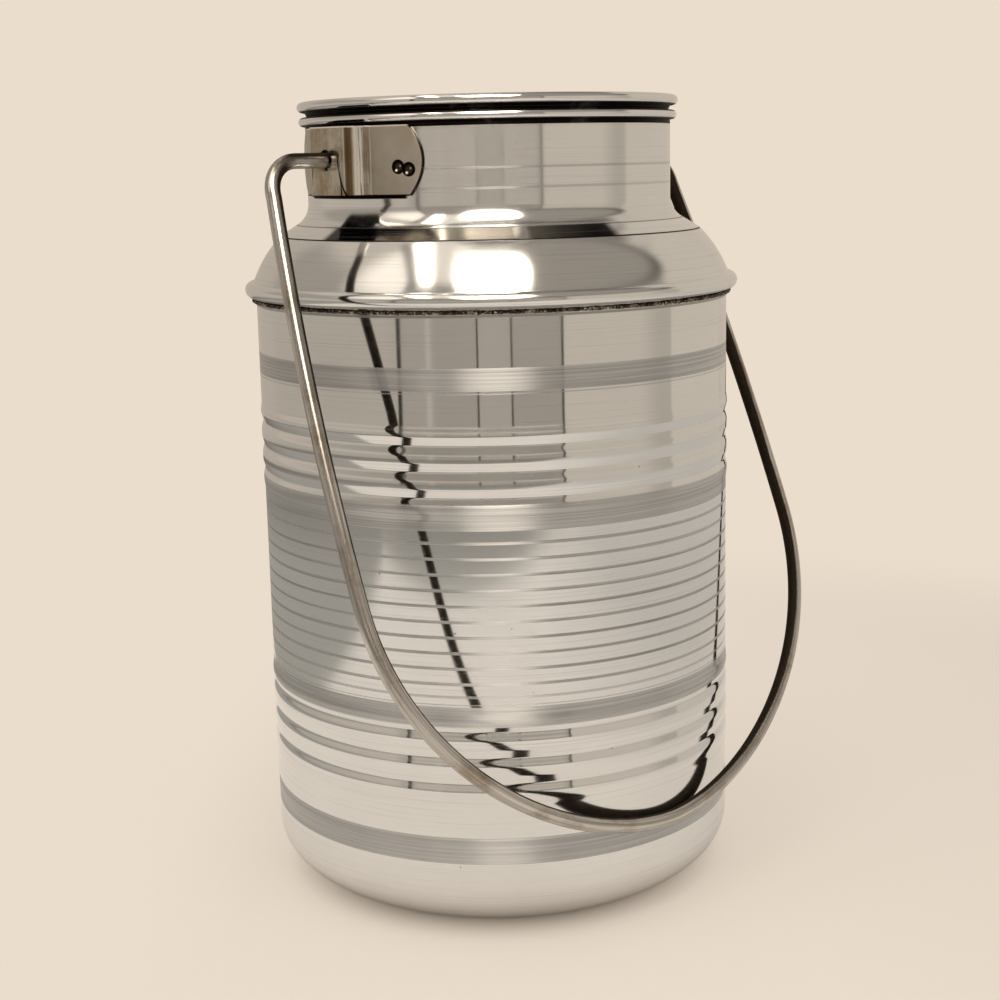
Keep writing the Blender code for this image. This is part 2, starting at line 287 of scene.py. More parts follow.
def run_tree(obj, tree, values):
    """Give an object the tree, make the result its own plain mesh, and turn it outwards."""
    modifier = obj.modifiers.new(tree.name, "NODES")
    modifier.node_group = tree
    for item in tree.interface.items_tree:
        if item.in_out == "INPUT" and item.name in values:
            modifier[item.identifier] = values[item.name]
    obj.update_tag()
    graph = bpy.context.evaluated_depsgraph_get()
    mesh = bpy.data.meshes.new_from_object(obj.evaluated_get(graph), preserve_all_data_layers=True,
                                           depsgraph=graph)
    obj.modifiers.clear()
    obj.data = mesh
    mesh.name = obj.name
    face_outwards(mesh)
    return obj


def face_outwards(mesh):
    """Flip a closed mesh whose volume comes out negative."""
    work = bmesh.new()
    work.from_mesh(mesh)
    if work.calc_volume(signed=True) < 0:
        bmesh.ops.reverse_faces(work, faces=work.faces)
    loose = sum(1 for edge in work.edges if len(edge.link_faces) != 2)
    print(mesh.name, len(work.faces), "faces,", loose, "open edges,",
          round(work.calc_volume(signed=True) * 1e6, 2), "cm3")
    work.to_mesh(mesh)
    work.free()


def new_object(name, mesh):
    """Link a mesh to the scene as an object at the origin."""
    obj = bpy.data.objects.new(name, mesh)
    bpy.context.scene.collection.objects.link(obj)
    return obj


def note_along(mesh, outline):
    """Keep at each point how many millimetres along the outline it lies, and give the whole length."""
    along = mesh.attributes.new(ATTRIBUTE, "FLOAT", "POINT")
    travelled = 0.0
    for index, point in enumerate(outline):
        travelled += math.dist(outline[max(index - 1, 0)], point)
        along.data[index].value = travelled / MM
    return travelled / MM


CREASE = 28.0                    # degrees: sharper edges stay sharp, the rest is smooth
turning = turning_tree()


def turned(name, outline, meets_axis, material):
    """Turn an outline of (r, z) points into a finished piece."""
    edges = [(index, index + 1) for index in range(len(outline) - 1)]
    if not meets_axis:
        edges.append((len(outline) - 1, 0))
    mesh = bpy.data.meshes.new(name)
    mesh.from_pydata([(r - AXIS_STEP, -z, 0.0) for r, z in outline], edges, [])
    note_along(mesh, outline)
    obj = run_tree(new_object(name, mesh), turning, {"Steps": TURN_STEPS, "Material": material})
    obj.data.set_sharp_from_angle(angle=math.radians(CREASE))
    return obj


print("turning tree has", len(turning.nodes), "nodes")

# %% [markdown]
# ## The studio
#
# Polished steel shows the room before it shows itself. The can stands on a sheet
# of pale cream paper with a darker floor beyond it. The camera sees the paper
# fade into the plain background, and near the foot it sees the full shadow. What
# the steel mirrors of the paper is darkest under the can, as it is in a real
# room, where the can itself keeps the light off.

# %% Studio: table
CREAM = "EBDDCC"                 # table and background
TABLE_RADIUS = 0.95
TABLE_SINK = 0.02 * MM           # keeps the paper just under the base
PAPER_GRAIN = 900.0              # per metre
FADE_START = 0.34                # the camera sees the table fade into the background from here
FADE_END = 0.56
SHADOW_FILL = 0.55               # share of plain cream that lightens the shadows
MIRROR_FILL = 0.75               # painted light: share of plain cream glow in the table that the can mirrors near its foot
MIRROR_NEAR = 0.16
MIRROR_FAR = 0.50
CONTACT_START = 0.058            # the camera sees the full shadow nearer than this
CONTACT_END = 0.079
MIRROR_START = 0.080             # and the steel mirrors it dark nearer than this
MIRROR_END = 0.170
LEFT_START = 0.03                # painted light: to the left a plain cream glow clears the floor's shadow sooner
LEFT_END = 0.13
LEFT_SHARE = 0.9
# two straight cuts end the paper outside the camera's view: direction from the can in degrees
# to the right of the camera, and how far away the cut is
PAPER_CUTS = ((-19.3, 0.538), (-117.0, 0.273))
PAPER_EDGE = 0.012
GLOOM_START = 0.55               # painted shade: beyond the paper the grey floor is painted darker from here
GLOOM_END = 0.90
DIM_SIDE = 100.0                 # painted shade: the paper is painted darker this way, in degrees
DIM_START = 0.08
DIM_END = 0.40


def disc(name, radius, height, steps):
    """Flat disc with rings, facing up."""
    mesh = bpy.data.meshes.new(name)
    work = bmesh.new()
    bmesh.ops.create_circle(work, cap_ends=True, segments=steps, radius=radius)
    for vertex in work.verts:
        vertex.co.z = height
    work.to_mesh(mesh)
    work.free()
    return new_object(name, mesh)


def radial_distance(tree, coordinates):
    """Distance from the Z axis."""
    flat = add(tree, "ShaderNodeVectorMath", {0: coordinates, 1: (1.0, 1.0, 0.0)}, operation="MULTIPLY")
    return add(tree, "ShaderNodeVectorMath", {0: flat.outputs[0]}, operation="LENGTH").outputs["Value"]


def distance_towards(tree, place, degrees_right):
    """How far a place lies from the can towards a direction right of the camera."""
    angle = math.radians(CAMERA_AZIMUTH + degrees_right)
    return add(tree, "ShaderNodeVectorMath", {0: place, 1: (math.sin(angle), -math.cos(angle), 0.0)},
               operation="DOT_PRODUCT").outputs["Value"]


def table_paper():
    """Matt cream paper on a grey floor; the camera sees it fade into the plain background."""
    material, tree = new_material("matt_cream_paper")
    place = add(tree, "ShaderNodeTexCoord").outputs["Object"]
    grain = add(tree, "ShaderNodeTexNoise", {"Vector": place, "Scale": PAPER_GRAIN, "Detail": 3.0})
    tone = add(tree, "ShaderNodeMix", {"Factor": grain.outputs["Fac"], 6: CREAM,
                                       7: "E6D7C5"}, data_type="RGBA")
    # painted shade: the paper darkens towards one side
    dim = add(tree, "ShaderNodeMapRange", {"Value": distance_towards(tree, place, DIM_SIDE),
                                           "From Min": DIM_START, "From Max": DIM_END})
    shaded = add(tree, "ShaderNodeMix", {"Factor": dim.outputs[0], 6: tone.outputs[2],
                                         7: "C9BDAE"}, data_type="RGBA")
    beyond = 0.0
    for degrees_right, distance in PAPER_CUTS:
        past = add(tree, "ShaderNodeMapRange", {"Value": distance_towards(tree, place, degrees_right),
                                                "From Min": distance, "From Max": distance + PAPER_EDGE})
        beyond = add(tree, "ShaderNodeMath", {0: beyond, 1: past.outputs[0]}, operation="MAXIMUM").outputs[0]
    seen = add(tree, "ShaderNodeLightPath").outputs["Is Camera Ray"]
    hidden = add(tree, "ShaderNodeMath", {0: 1.0, 1: seen}, operation="SUBTRACT")
    beyond = add(tree, "ShaderNodeMath", {0: beyond, 1: hidden.outputs[0]}, operation="MULTIPLY").outputs[0]
    # painted shade: the grey floor beyond the paper darkens with distance
    gloom = add(tree, "ShaderNodeMapRange", {"Value": radial_distance(tree, place), "From Min": GLOOM_START,
                                             "From Max": GLOOM_END})
    floor = add(tree, "ShaderNodeMix", {"Factor": gloom.outputs[0], 6: "A69E91", 7: "787064"},
                data_type="RGBA")
    ground = add(tree, "ShaderNodeMix", {"Factor": beyond, 6: shaded.outputs[2], 7: floor.outputs[2]},
                 data_type="RGBA")
    paper = add(tree, "ShaderNodeBsdfDiffuse", {"Color": ground.outputs[2], "Roughness": 0.4})
    tint = add(tree, "ShaderNodeMix", {"Factor": seen, 6: ground.outputs[2], 7: CREAM},
               data_type="RGBA")
    plain = add(tree, "ShaderNodeEmission", {"Color": tint.outputs[2], "Strength": 1.0})
    away = radial_distance(tree, place)
    clear = add(tree, "ShaderNodeMapRange", {"Value": away, "From Min": CONTACT_START,
                                             "From Max": CONTACT_END})
    bright = add(tree, "ShaderNodeMapRange", {"Value": away, "From Min": MIRROR_START,
                                              "From Max": MIRROR_END})
    # painted light: plain cream glow that lifts the shadow on the left
    left = add(tree, "ShaderNodeMapRange", {"Value": distance_towards(tree, place, -90.0),
                                            "From Min": LEFT_START,
                                            "From Max": LEFT_END, "To Max": LEFT_SHARE})
    fade = add(tree, "ShaderNodeMapRange", {"Value": away, "From Min": FADE_START, "From Max": FADE_END,
                                            "To Min": SHADOW_FILL}, interpolation_type="SMOOTHSTEP")
    open_side = add(tree, "ShaderNodeMath", {0: fade.outputs[0], 1: left.outputs[0]}, operation="MAXIMUM")
    cleared = add(tree, "ShaderNodeMath", {0: open_side.outputs[0], 1: clear.outputs[0]},
                  operation="MULTIPLY")
    shown = add(tree, "ShaderNodeMath", {0: cleared.outputs[0], 1: seen}, operation="MULTIPLY")
    # painted light: a plain cream glow in the paper, mirrored by the can near its foot
    near = add(tree, "ShaderNodeMapRange", {"Value": away, "From Min": MIRROR_NEAR, "From Max": MIRROR_FAR,
                                            "To Min": MIRROR_FILL, "To Max": 0.0})
    lit = add(tree, "ShaderNodeMath", {0: near.outputs[0], 1: bright.outputs[0]}, operation="MULTIPLY")
    mirrored = add(tree, "ShaderNodeMath", {0: lit.outputs[0], 1: hidden.outputs[0]}, operation="MULTIPLY")
    share = add(tree, "ShaderNodeMath", {0: shown.outputs[0], 1: mirrored.outputs[0]}, operation="ADD")
    mixed = add(tree, "ShaderNodeMixShader", {0: share.outputs[0], 1: paper.outputs[0], 2: plain.outputs[0]})
    add(tree, "ShaderNodeOutputMaterial", {"Surface": mixed.outputs[0]})
    return material


table = disc("table", TABLE_RADIUS, cad_low.z - TABLE_SINK, 128)
table.data.materials.append(table_paper())

# %% [markdown]
# The world gives the even light. Its strength is set so that the cream paper
# renders about as its hex value says. One soft lamp from the front left adds the
# faint shadow that falls to the right of the can.

# %% Studio: even light and one soft lamp
WORLD_STRENGTH = 0.93
LAMP_WATTS = 6.0
LAMP_SIZE = 1.4
LAMP_PLACE = (-0.55, -0.35, 1.6)

world = bpy.data.worlds.new("studio")
bpy.context.scene.world = world
world.use_nodes = True
sky = world.node_tree
sky.nodes.clear()
path = add(sky, "ShaderNodeLightPath").outputs
seen_in_metal = add(sky, "ShaderNodeMath", {0: path["Is Camera Ray"], 1: path["Is Glossy Ray"]},
                    operation="MAXIMUM")
seen_plain = add(sky, "ShaderNodeMath", {0: seen_in_metal.outputs[0], 1: path["Is Transmission Ray"]},
                 operation="MAXIMUM")
even = add(sky, "ShaderNodeBackground", {"Color": "F9FBFF", "Strength": WORLD_STRENGTH})
backdrop = add(sky, "ShaderNodeBackground", {"Color": CREAM, "Strength": 1.0})
both = add(sky, "ShaderNodeMixShader", {0: seen_plain.outputs[0], 1: even.outputs[0], 2: backdrop.outputs[0]})
add(sky, "ShaderNodeOutputWorld", {"Surface": both.outputs[0]})

lamp = bpy.data.objects.new("soft_lamp", bpy.data.lights.new("soft_lamp", "AREA"))
bpy.context.scene.collection.objects.link(lamp)
lamp.data.shape = "DISK"
lamp.data.size = LAMP_SIZE
lamp.data.energy = LAMP_WATTS
lamp.location = LAMP_PLACE
lamp.rotation_euler = (-Vector(LAMP_PLACE)).to_track_quat("-Z", "Y").to_euler()
lamp.visible_glossy = False
lamp.visible_camera = False

# %% [markdown]
# Round it all hangs a plain grey tent, a hollow ball 1.5 m in radius. It is a light
# only for what is mirrored, so it neither shows nor brightens the paper. Its
# panels are listed by where they stand as seen from the can: degrees to the right
# of the camera, degrees above the table, half their width and height, how soft
# their edge is, and how bright they are, where 1 is plain white. A later panel
# covers an earlier one.
#
# They stand for what such a room has: walls and ceiling, a dark gap behind, a
# window in front with its black frame, the place where the camera stood, a
# narrow strip lamp on the left and a wide lamp overhead.

# %% Studio: tent and panels
TENT_RADIUS = 1.5
TENT_GREY = 0.46
TENT_TINT = "FFEED9"
PANELS = {
    "left_wall": (-95.0, -6.0, 46.0, 12.0, 4.0, 0.47),
    "left_upper": (-95.0, 12.0, 46.0, 7.0, 3.0, 0.56),
    "left_high": (-88.0, 32.0, 52.0, 14.0, 9.0, 0.38),
    "behind_left": (-152.0, 28.0, 24.0, 30.0, 8.0, 0.50),
    "behind_right": (142.0, 24.0, 32.0, 30.0, 12.0, 0.60),
    "ceiling": (0.0, 72.0, 181.0, 24.0, 5.0, 0.60),
    "behind_dark": (136.0, 76.0, 30.0, 21.0, 3.0, 0.20),
    "zenith": (0.0, 90.0, 181.0, 8.0, 2.0, 0.16),
    "behind_top": (-174.0, 71.0, 17.0, 12.0, 5.0, 0.52),
    "left_glow": (-50.0, 56.0, 26.0, 22.0, 9.0, 1.35),
    "strip_edge": (-0.496, 0.47, 0.096, 0.50, 0.02, 0.22),
    "strip_beside": (-0.31, 0.47, 0.10, 0.50, 0.02, 0.88),
    "strip": (-0.429, 0.47, 0.061, 0.47, 0.02, 6.0),
    "right_wall": (62.0, 8.0, 32.0, 38.0, 0.6, 0.58),
    "right_upper": (62.0, 12.0, 31.0, 6.0, 3.0, 0.60),
    "right_dim": (88.0, 8.0, 10.0, 38.0, 8.0, 0.47),
    "right_beyond": (116.0, 8.0, 24.0, 38.0, 0.8, 0.62),
    "window_frame": (-6.1, 8.0, 38.5, 39.0, 0.12, 0.03),
    "window": (-5.6, 6.0, 36.9, 37.4, 0.25, 0.37),
    "window_left": (-34.5, 6.0, 7.9, 37.4, 1.0, 0.40),
    "window_right": (20.0, 6.0, 11.0, 37.4, 0.5, 0.37),
    "window_slit": (-29.5, 6.0, 1.2, 37.4, 0.9, 0.50),
    "window_lit": (-6.0, 10.0, 36.0, 4.0, 3.0, 0.56),
    "window_top": (-6.0, 30.0, 36.0, 15.0, 4.0, 0.33),
    "camera_edges": (0.7, 0.0, 8.1, 10.0, 0.12, 0.03),
    "camera": (0.7, 0.0, 7.3, 9.5, 0.15, 0.42),
    "card_rim": (61.0, 56.0, 43.0, 24.0, 2.0, 0.10),
    "card_face": (58.0, 57.0, 41.0, 21.0, 2.5, 0.34),
    "overhead": (1.0, 52.5, 21.5, 18.0, 1.4, 7.5),
}
PANEL_SPREAD = {"overhead": 0.42}    # how many degrees wider a panel grows for each degree up
ROUND_PANELS = ("overhead", "left_glow", "card_rim", "card_face")
# a straight panel is given in metres instead, to the right of the camera and towards it
STRAIGHT_PANELS = ("strip_edge", "strip_beside", "strip")
STRAIGHT_LEAN = 0.188            # how far a straight panel leans sideways for each metre towards the camera
CORNER_POWER = 4.0               # 2 draws an ellipse, a larger number a squarer shape
SOFT_EDGE = 0.12 * MM            # how softly a band or line on the metal ends


def turned_angle(tree, angle, middle):
    """Unsigned difference between an angle and a middle, in degrees, the short way round."""
    shifted = add(tree, "ShaderNodeMath", {0: angle, 1: 540.0 - middle}, operation="ADD")
    wrapped = add(tree, "ShaderNodeMath", {0: shifted.outputs[0], 1: 360.0}, operation="FLOORED_MODULO")
    centred = add(tree, "ShaderNodeMath", {0: wrapped.outputs[0], 1: 180.0}, operation="SUBTRACT")
    return add(tree, "ShaderNodeMath", {0: centred.outputs[0]}, operation="ABSOLUTE").outputs[0]


def inside(tree, distance, half, soft):
    """1 within half of the middle, 0 outside it, with a soft edge."""
    return add(tree, "ShaderNodeMapRange", {"Value": distance, "From Min": half - soft,
                                            "From Max": half + soft,
                                            "To Min": 1.0, "To Max": 0.0},
               interpolation_type="SMOOTHSTEP").outputs[0]


def between(tree, value, low, high, soft):
    """1 where the value lies between low and high."""
    off = add(tree, "ShaderNodeMath", {0: value, 1: (low + high) / 2}, operation="SUBTRACT")
    away = add(tree, "ShaderNodeMath", {0: off.outputs[0]}, operation="ABSOLUTE")
    return inside(tree, away.outputs[0], (high - low) / 2, soft)


def inside_round(tree, across, up, soft):
    """1 inside a rectangle with generously rounded corners; each side is (distance, half)."""
    total = 0.0
    for distance, half in (across, up):
        share = add(tree, "ShaderNodeMath", {0: distance, 1: half}, operation="DIVIDE")
        power = add(tree, "ShaderNodeMath", {0: share.outputs[0], 1: CORNER_POWER}, operation="POWER")
        total = add(tree, "ShaderNodeMath", {0: power.outputs[0], 1: total}, operation="ADD").outputs[0]
    size = add(tree, "ShaderNodeMath", {0: total, 1: 1.0 / CORNER_POWER}, operation="POWER")
    return inside(tree, size.outputs[0], 1.0, soft / up[1])


def tent_cloth():
    """Grey tent with its panels, seen only by what mirrors it."""
    material, tree = new_material("grey_tent_with_panels")
    place = add(tree, "ShaderNodeTexCoord").outputs["Object"]
    axis = add(tree, "ShaderNodeSeparateXYZ", {0: place}).outputs
    back = add(tree, "ShaderNodeMath", {0: axis["Y"], 1: -1.0}, operation="MULTIPLY")
    around = add(tree, "ShaderNodeMath", {0: axis["X"], 1: back.outputs[0]}, operation="ARCTAN2")
    azimuth = add(tree, "ShaderNodeMath", {0: around.outputs[0]}, operation="DEGREES").outputs[0]
    rise = add(tree, "ShaderNodeMath", {0: axis["Z"], 1: radial_distance(tree, place)}, operation="ARCTAN2")
    height = add(tree, "ShaderNodeMath", {0: rise.outputs[0]}, operation="DEGREES").outputs[0]
    level = TENT_GREY
    for name, (turn_middle, rise_middle, half_turn, half_rise, soft, bright) in PANELS.items():
        if name in STRAIGHT_PANELS:
            front = distance_towards(tree, place, 0.0)
            right = add(tree, "ShaderNodeMath", {0: front, 1: STRAIGHT_LEAN,
                                                 2: distance_towards(tree, place, 90.0)},
                        operation="MULTIPLY_ADD").outputs[0]
            sideways = between(tree, right, turn_middle - half_turn, turn_middle + half_turn, soft)
            upwards = between(tree, front, rise_middle - half_rise, rise_middle + half_rise, soft)
        else:
            spread = PANEL_SPREAD.get(name, 0.0)
            off = add(tree, "ShaderNodeMath", {0: turned_angle(tree, azimuth, CAMERA_AZIMUTH + turn_middle),
                                               1: spread * rise_middle}, operation="ADD")
            even_off = add(tree, "ShaderNodeMath", {0: height, 1: -spread, 2: off.outputs[0]},
                           operation="MULTIPLY_ADD").outputs[0]
            up_off = turned_angle(tree, height, rise_middle)
            sideways = inside(tree, even_off, half_turn, soft)
            upwards = inside(tree, up_off, half_rise, soft)
        if name in ROUND_PANELS:
            mask = inside_round(tree, (even_off, half_turn), (up_off, half_rise), soft)
        else:
            mask = add(tree, "ShaderNodeMath", {0: sideways, 1: upwards}, operation="MULTIPLY").outputs[0]
        level = add(tree, "ShaderNodeMix", {"Factor": mask, "A": level, "B": bright}).outputs[0]
    glow = add(tree, "ShaderNodeEmission", {"Color": TENT_TINT, "Strength": level})
    add(tree, "ShaderNodeOutputMaterial", {"Surface": glow.outputs[0]})
    return material


tent_mesh = bpy.data.meshes.new("tent")
tent_work = bmesh.new()
bmesh.ops.create_uvsphere(tent_work, u_segments=48, v_segments=24, radius=TENT_RADIUS)
bmesh.ops.reverse_faces(tent_work, faces=tent_work.faces)
tent_work.to_mesh(tent_mesh)
tent_work.free()
tent = new_object("tent", tent_mesh)
tent.data.materials.append(tent_cloth())
tent.data.materials[0].cycles.emission_sampling = "NONE"
tent.visible_camera = False
tent.visible_diffuse = False
tent.visible_shadow = False
tent.visible_transmission = False
print("studio has", len(PANELS), "panels")

# %% [markdown]
# ## Polished sheet with satin bands
#
# The sheet is 18/8 stainless steel. It is polished on a lathe, so under the
# mirror it keeps faint rings, and it blurs what it mirrors more up and down than
# sideways: that is what anisotropy means here. Decorative bands are scoured with
# a coarse belt, which leaves them grey and silky. Brushing follows the attribute
# along, so the rings run round the can on walls, on the shoulder and in the lid.
# Dirt and painted shade lie in corners, gaps and folds, with a painted shadow
# under each ear. In the hollow between dome and neck a painted reflection lies on
# the side towards the camera: black on one side and lighter towards the camera.

# %% Polished steel
POLISHED = ("EEF2F5", "E2E6E9")
SATIN = ("D7DBDF", "A8ACB0")
SCRATCH_SHARE = 0.20             # how much of the satin look a lathe scratch has
BRUSH_LENGTH = 9.0               # per metre: a scratch is about 100 mm long
BRUSH_PITCH = 2.4                # per millimetre: rings about 0.4 mm apart, coarser than real ones
SMUDGE_SIZE = 26.0               # per metre: clouds about 40 mm across
SPECK_SIZE = 170.0               # per metre: one speck in every 6 mm
SPECK_RADIUS = 0.035             # share of a speck's cell
SPECK_RARITY = 0.8               # this share of the cells stays clean
HAZE_SWING = 0.04                # how much rougher the smudges are
# one dark colour for dirty specks and for painted shade in gaps, creases and under the ears
DIRT_AND_SHADE_COLOUR = "1E1812"
DIRT_ROUGHNESS = 0.7


def brush_vector(tree, place, along, around, across):
    """Coordinates that are long round the axis and fine along the sheet."""
    flat = add(tree, "ShaderNodeVectorMath", {0: place, 1: (around, around, 0.0)}, operation="MULTIPLY")
    fine = add(tree, "ShaderNodeMath", {0: along, 1: across}, operation="MULTIPLY")
    up = add(tree, "ShaderNodeCombineXYZ", {"Z": fine.outputs[0]})
    both = add(tree, "ShaderNodeVectorMath", {0: flat.outputs[0], 1: up.outputs[0]}, operation="ADD")
    return both.outputs[0]


def larger(tree, first, second):
    """The larger of two masks."""
    return add(tree, "ShaderNodeMath", {0: first, 1: second}, operation="MAXIMUM").outputs[0]


def line_comb(tree, height, first, pitch, count, half):
    """1 on each of a row of fine lines, from the first one downwards."""
    down = add(tree, "ShaderNodeMath", {0: first + pitch / 2, 1: height}, operation="SUBTRACT")
    part = add(tree, "ShaderNodeMath", {0: down.outputs[0], 1: pitch}, operation="FLOORED_MODULO")
    off = add(tree, "ShaderNodeMath", {0: part.outputs[0], 1: pitch / 2}, operation="SUBTRACT")
    away = add(tree, "ShaderNodeMath", {0: off.outputs[0]}, operation="ABSOLUTE")
    row = inside(tree, away.outputs[0], half, SOFT_EDGE)
    reach = between(tree, height, first - pitch * (count - 0.5), first + pitch / 2, 0.01 * MM)
    return add(tree, "ShaderNodeMath", {0: row, 1: reach}, operation="MULTIPLY").outputs[0]


def masks_of(tree, height, bands):
    """The strongest of several (low, high, strength) bands of heights in millimetres."""
    mask = 0.0
    for low, high, strength in bands:
        band = between(tree, height, low * MM, high * MM, SOFT_EDGE)
        scoured = add(tree, "ShaderNodeMath", {0: band, 1: strength}, operation="MULTIPLY")
        mask = larger(tree, mask, scoured.outputs[0])
    return mask


def painted_reflection_of(tree, place, clean, zone):
    """Clean colour with a painted reflection between two heights on the side towards the camera, its tones
    given by degrees right of the camera.
    """
    low, high, tones = zone
    axis = add(tree, "ShaderNodeSeparateXYZ", {0: place}).outputs
    right = distance_towards(tree, place, 90.0)
    front = distance_towards(tree, place, 0.0)
    around = add(tree, "ShaderNodeMath", {0: right, 1: front}, operation="ARCTAN2")
    share = add(tree, "ShaderNodeMapRange", {"Value": around.outputs[0], "From Min": -math.pi / 2,
                                             "From Max": math.pi / 2})
    stops = [((degrees + 90.0) / 180.0, tone) for degrees, tone in tones]
    stops = [(0.0, tones[0][1])] + stops + [(1.0, tones[-1][1])]
    ramp = add(tree, "ShaderNodeValToRGB", {0: share.outputs[0]}, stops)
    ring = between(tree, axis["Z"], low, high, SOFT_EDGE)
    reflection_colour = add(tree, "ShaderNodeMix", {"Factor": ring, 6: clean, 7: ramp.outputs[0]}, data_type="RGBA")
    facing = add(tree, "ShaderNodeMath", {0: front, 1: 0.0}, operation="GREATER_THAN")
    kept = add(tree, "ShaderNodeMix", {"Factor": facing.outputs[0], 6: clean, 7: reflection_colour.outputs[2]},
               data_type="RGBA")
    return kept.outputs[2]


def polished_steel(name, bands, comb=None, grime_and_shade=(), haze=0.045, painted_reflection=None, dirt_and_shadow_patches=()):
    """Lathe polished sheet; bands are (low, high, strength) heights scoured to satin, dirty bands with
    painted shade likewise.
    Dirty marks with a painted shadow are (low, high, half their width) on the two sides."""
    material, tree = new_material(name)
    place = add(tree, "ShaderNodeTexCoord").outputs["Object"]
    height = add(tree, "ShaderNodeSeparateXYZ", {0: place}).outputs["Z"]
    along = add(tree, "ShaderNodeAttribute", attribute_name=ATTRIBUTE).outputs["Fac"]
    brushed = brush_vector(tree, place, along, BRUSH_LENGTH, BRUSH_PITCH)
    rings = add(tree, "ShaderNodeTexNoise", {"Vector": brushed, "Scale": 1.0, "Detail": 5.0,
                                             "Roughness": 0.7}).outputs["Fac"]
    smudge = add(tree, "ShaderNodeTexNoise", {"Vector": place, "Scale": SMUDGE_SIZE, "Detail": 5.0,
                                              "Roughness": 0.6}).outputs["Fac"]
    satin = masks_of(tree, height, bands)
    scratch = add(tree, "ShaderNodeMapRange", {"Value": rings, "From Min": 0.54, "From Max": 0.70,
                                               "To Min": 0.0, "To Max": SCRATCH_SHARE})
    satin = larger(tree, satin, scratch.outputs[0])
    if comb:
        satin = larger(tree, satin, line_comb(tree, height, *comb))

    bright = add(tree, "ShaderNodeMix", {"Factor": smudge, 6: POLISHED[0], 7: POLISHED[1]},
                 data_type="RGBA")
    speck = add(tree, "ShaderNodeTexVoronoi", {"Vector": place, "Scale": SPECK_SIZE})
    spot = inside(tree, speck.outputs["Distance"], SPECK_RADIUS, 0.02)
    chosen = add(tree, "ShaderNodeSeparateColor", {0: speck.outputs["Color"]})
    rare = add(tree, "ShaderNodeMath", {0: chosen.outputs[0], 1: SPECK_RARITY}, operation="GREATER_THAN")
    pit = add(tree, "ShaderNodeMath", {0: spot, 1: rare.outputs[0]}, operation="MULTIPLY")
    dirt_and_shade = pit.outputs[0]
    # dirty bands with painted shade in gaps and creases, then dirty marks with a painted shadow under the
    # ears
    if grime_and_shade:
        patchy = add(tree, "ShaderNodeMapRange", {"Value": smudge, "From Min": 0.30, "From Max": 0.45,
                                                  "To Min": 0.75, "To Max": 1.0})
        packed = add(tree, "ShaderNodeMath", {0: masks_of(tree, height, grime_and_shade), 1: patchy.outputs[0]},
                     operation="MULTIPLY")
        dirt_and_shade = larger(tree, dirt_and_shade, packed.outputs[0])
    for low, high, half_side in dirt_and_shadow_patches:
        side = add(tree, "ShaderNodeMath", {0: add(tree, "ShaderNodeSeparateXYZ", {0: place}).outputs["Y"]},
                   operation="ABSOLUTE")
        across = inside(tree, side.outputs[0], half_side, 0.6 * MM)
        line = between(tree, height, low, high, 0.15 * MM)
        patch = add(tree, "ShaderNodeMath", {0: across, 1: line}, operation="MULTIPLY")
        dirt_and_shade = larger(tree, dirt_and_shade, patch.outputs[0])
    clean = bright.outputs[2]
    # painted reflection in the hollow between dome and neck
    if painted_reflection:
        clean = painted_reflection_of(tree, place, clean, painted_reflection)
    shown = add(tree, "ShaderNodeMix", {"Factor": dirt_and_shade, 6: clean, 7: DIRT_AND_SHADE_COLOUR}, data_type="RGBA")
    haze_amount = add(tree, "ShaderNodeMapRange", {"Value": smudge, "From Min": 0.4, "From Max": 0.75,
                                                   "To Min": haze, "To Max": haze + HAZE_SWING})
    mirror = add(tree, "ShaderNodeMath", {0: rings, 1: 0.05, 2: haze_amount.outputs[0]},
                 operation="MULTIPLY_ADD")
    dusty = add(tree, "ShaderNodeMix", {"Factor": dirt_and_shade, "A": mirror.outputs[0], "B": DIRT_ROUGHNESS})
    ringed = add(tree, "ShaderNodeBump", {"Strength": 0.02, "Distance": 0.05 * MM, "Height": rings})
    polished = add(tree, "ShaderNodeBsdfPrincipled", {"Base Color": shown.outputs[2], "Metallic": 1.0,
                                                      "Roughness": dusty.outputs[0], "Anisotropic": 0.8,
                                                      "Anisotropic Rotation": 0.25,
                                                      "Normal": ringed.outputs[0]})

    grain = add(tree, "ShaderNodeMapRange", {"Value": rings, "From Min": 0.36, "From Max": 0.64})
    dull = add(tree, "ShaderNodeMix", {"Factor": grain.outputs[0], 6: SATIN[0], 7: SATIN[1]},
               data_type="RGBA")
    silk = add(tree, "ShaderNodeMath", {0: rings, 1: 0.14, 2: 0.34}, operation="MULTIPLY_ADD")
    scratched = add(tree, "ShaderNodeBump", {"Strength": 0.10, "Distance": 0.05 * MM, "Height": rings})
    scoured = add(tree, "ShaderNodeBsdfPrincipled", {"Base Color": dull.outputs[2], "Metallic": 1.0,
                                                     "Roughness": silk.outputs[0], "Anisotropic": 1.0,
                                                     "Anisotropic Rotation": 0.25,
                                                     "Normal": scratched.outputs[0]})
    both = add(tree, "ShaderNodeMixShader", {0: satin, 1: polished.outputs[0], 2: scoured.outputs[0]})
    add(tree, "ShaderNodeOutputMaterial", {"Surface": both.outputs[0]})
    return material


# %% Steel for body, shoulder and lid
# heights above the base in millimetres, with a strength
BODY_BANDS = ((183.2, 190.5, 0.86), (139.0, 147.4, 0.86), (74.6, 81.4, 0.86), (28.0, 37.0, 0.86),
              (182.2, 182.6, 0.6), (84.3, 85.2, 0.6), (81.9, 82.3, 0.6))
FINE_LINES = (135.1 * MM, 5.12 * MM, 10, 0.5 * MM)    # first line, spacing, how many, half width
NECK_LINES = ((250.8, 251.6, 0.5), (244.5, 245.3, 0.5))
# dirty bands with painted shade: at the neck's rolled rim and in the lid's gap above it, as dark lines at the
# top and the crease of the hollow, and under the closing roll
NECK_GRIME_AND_SHADE = ((264.2, 266.2, 1.0), (268.2, 269.5, 1.0), (232.75, 233.0, 0.7), (228.9, 229.3, 1.0),
              (208.0, 209.6, 0.5))
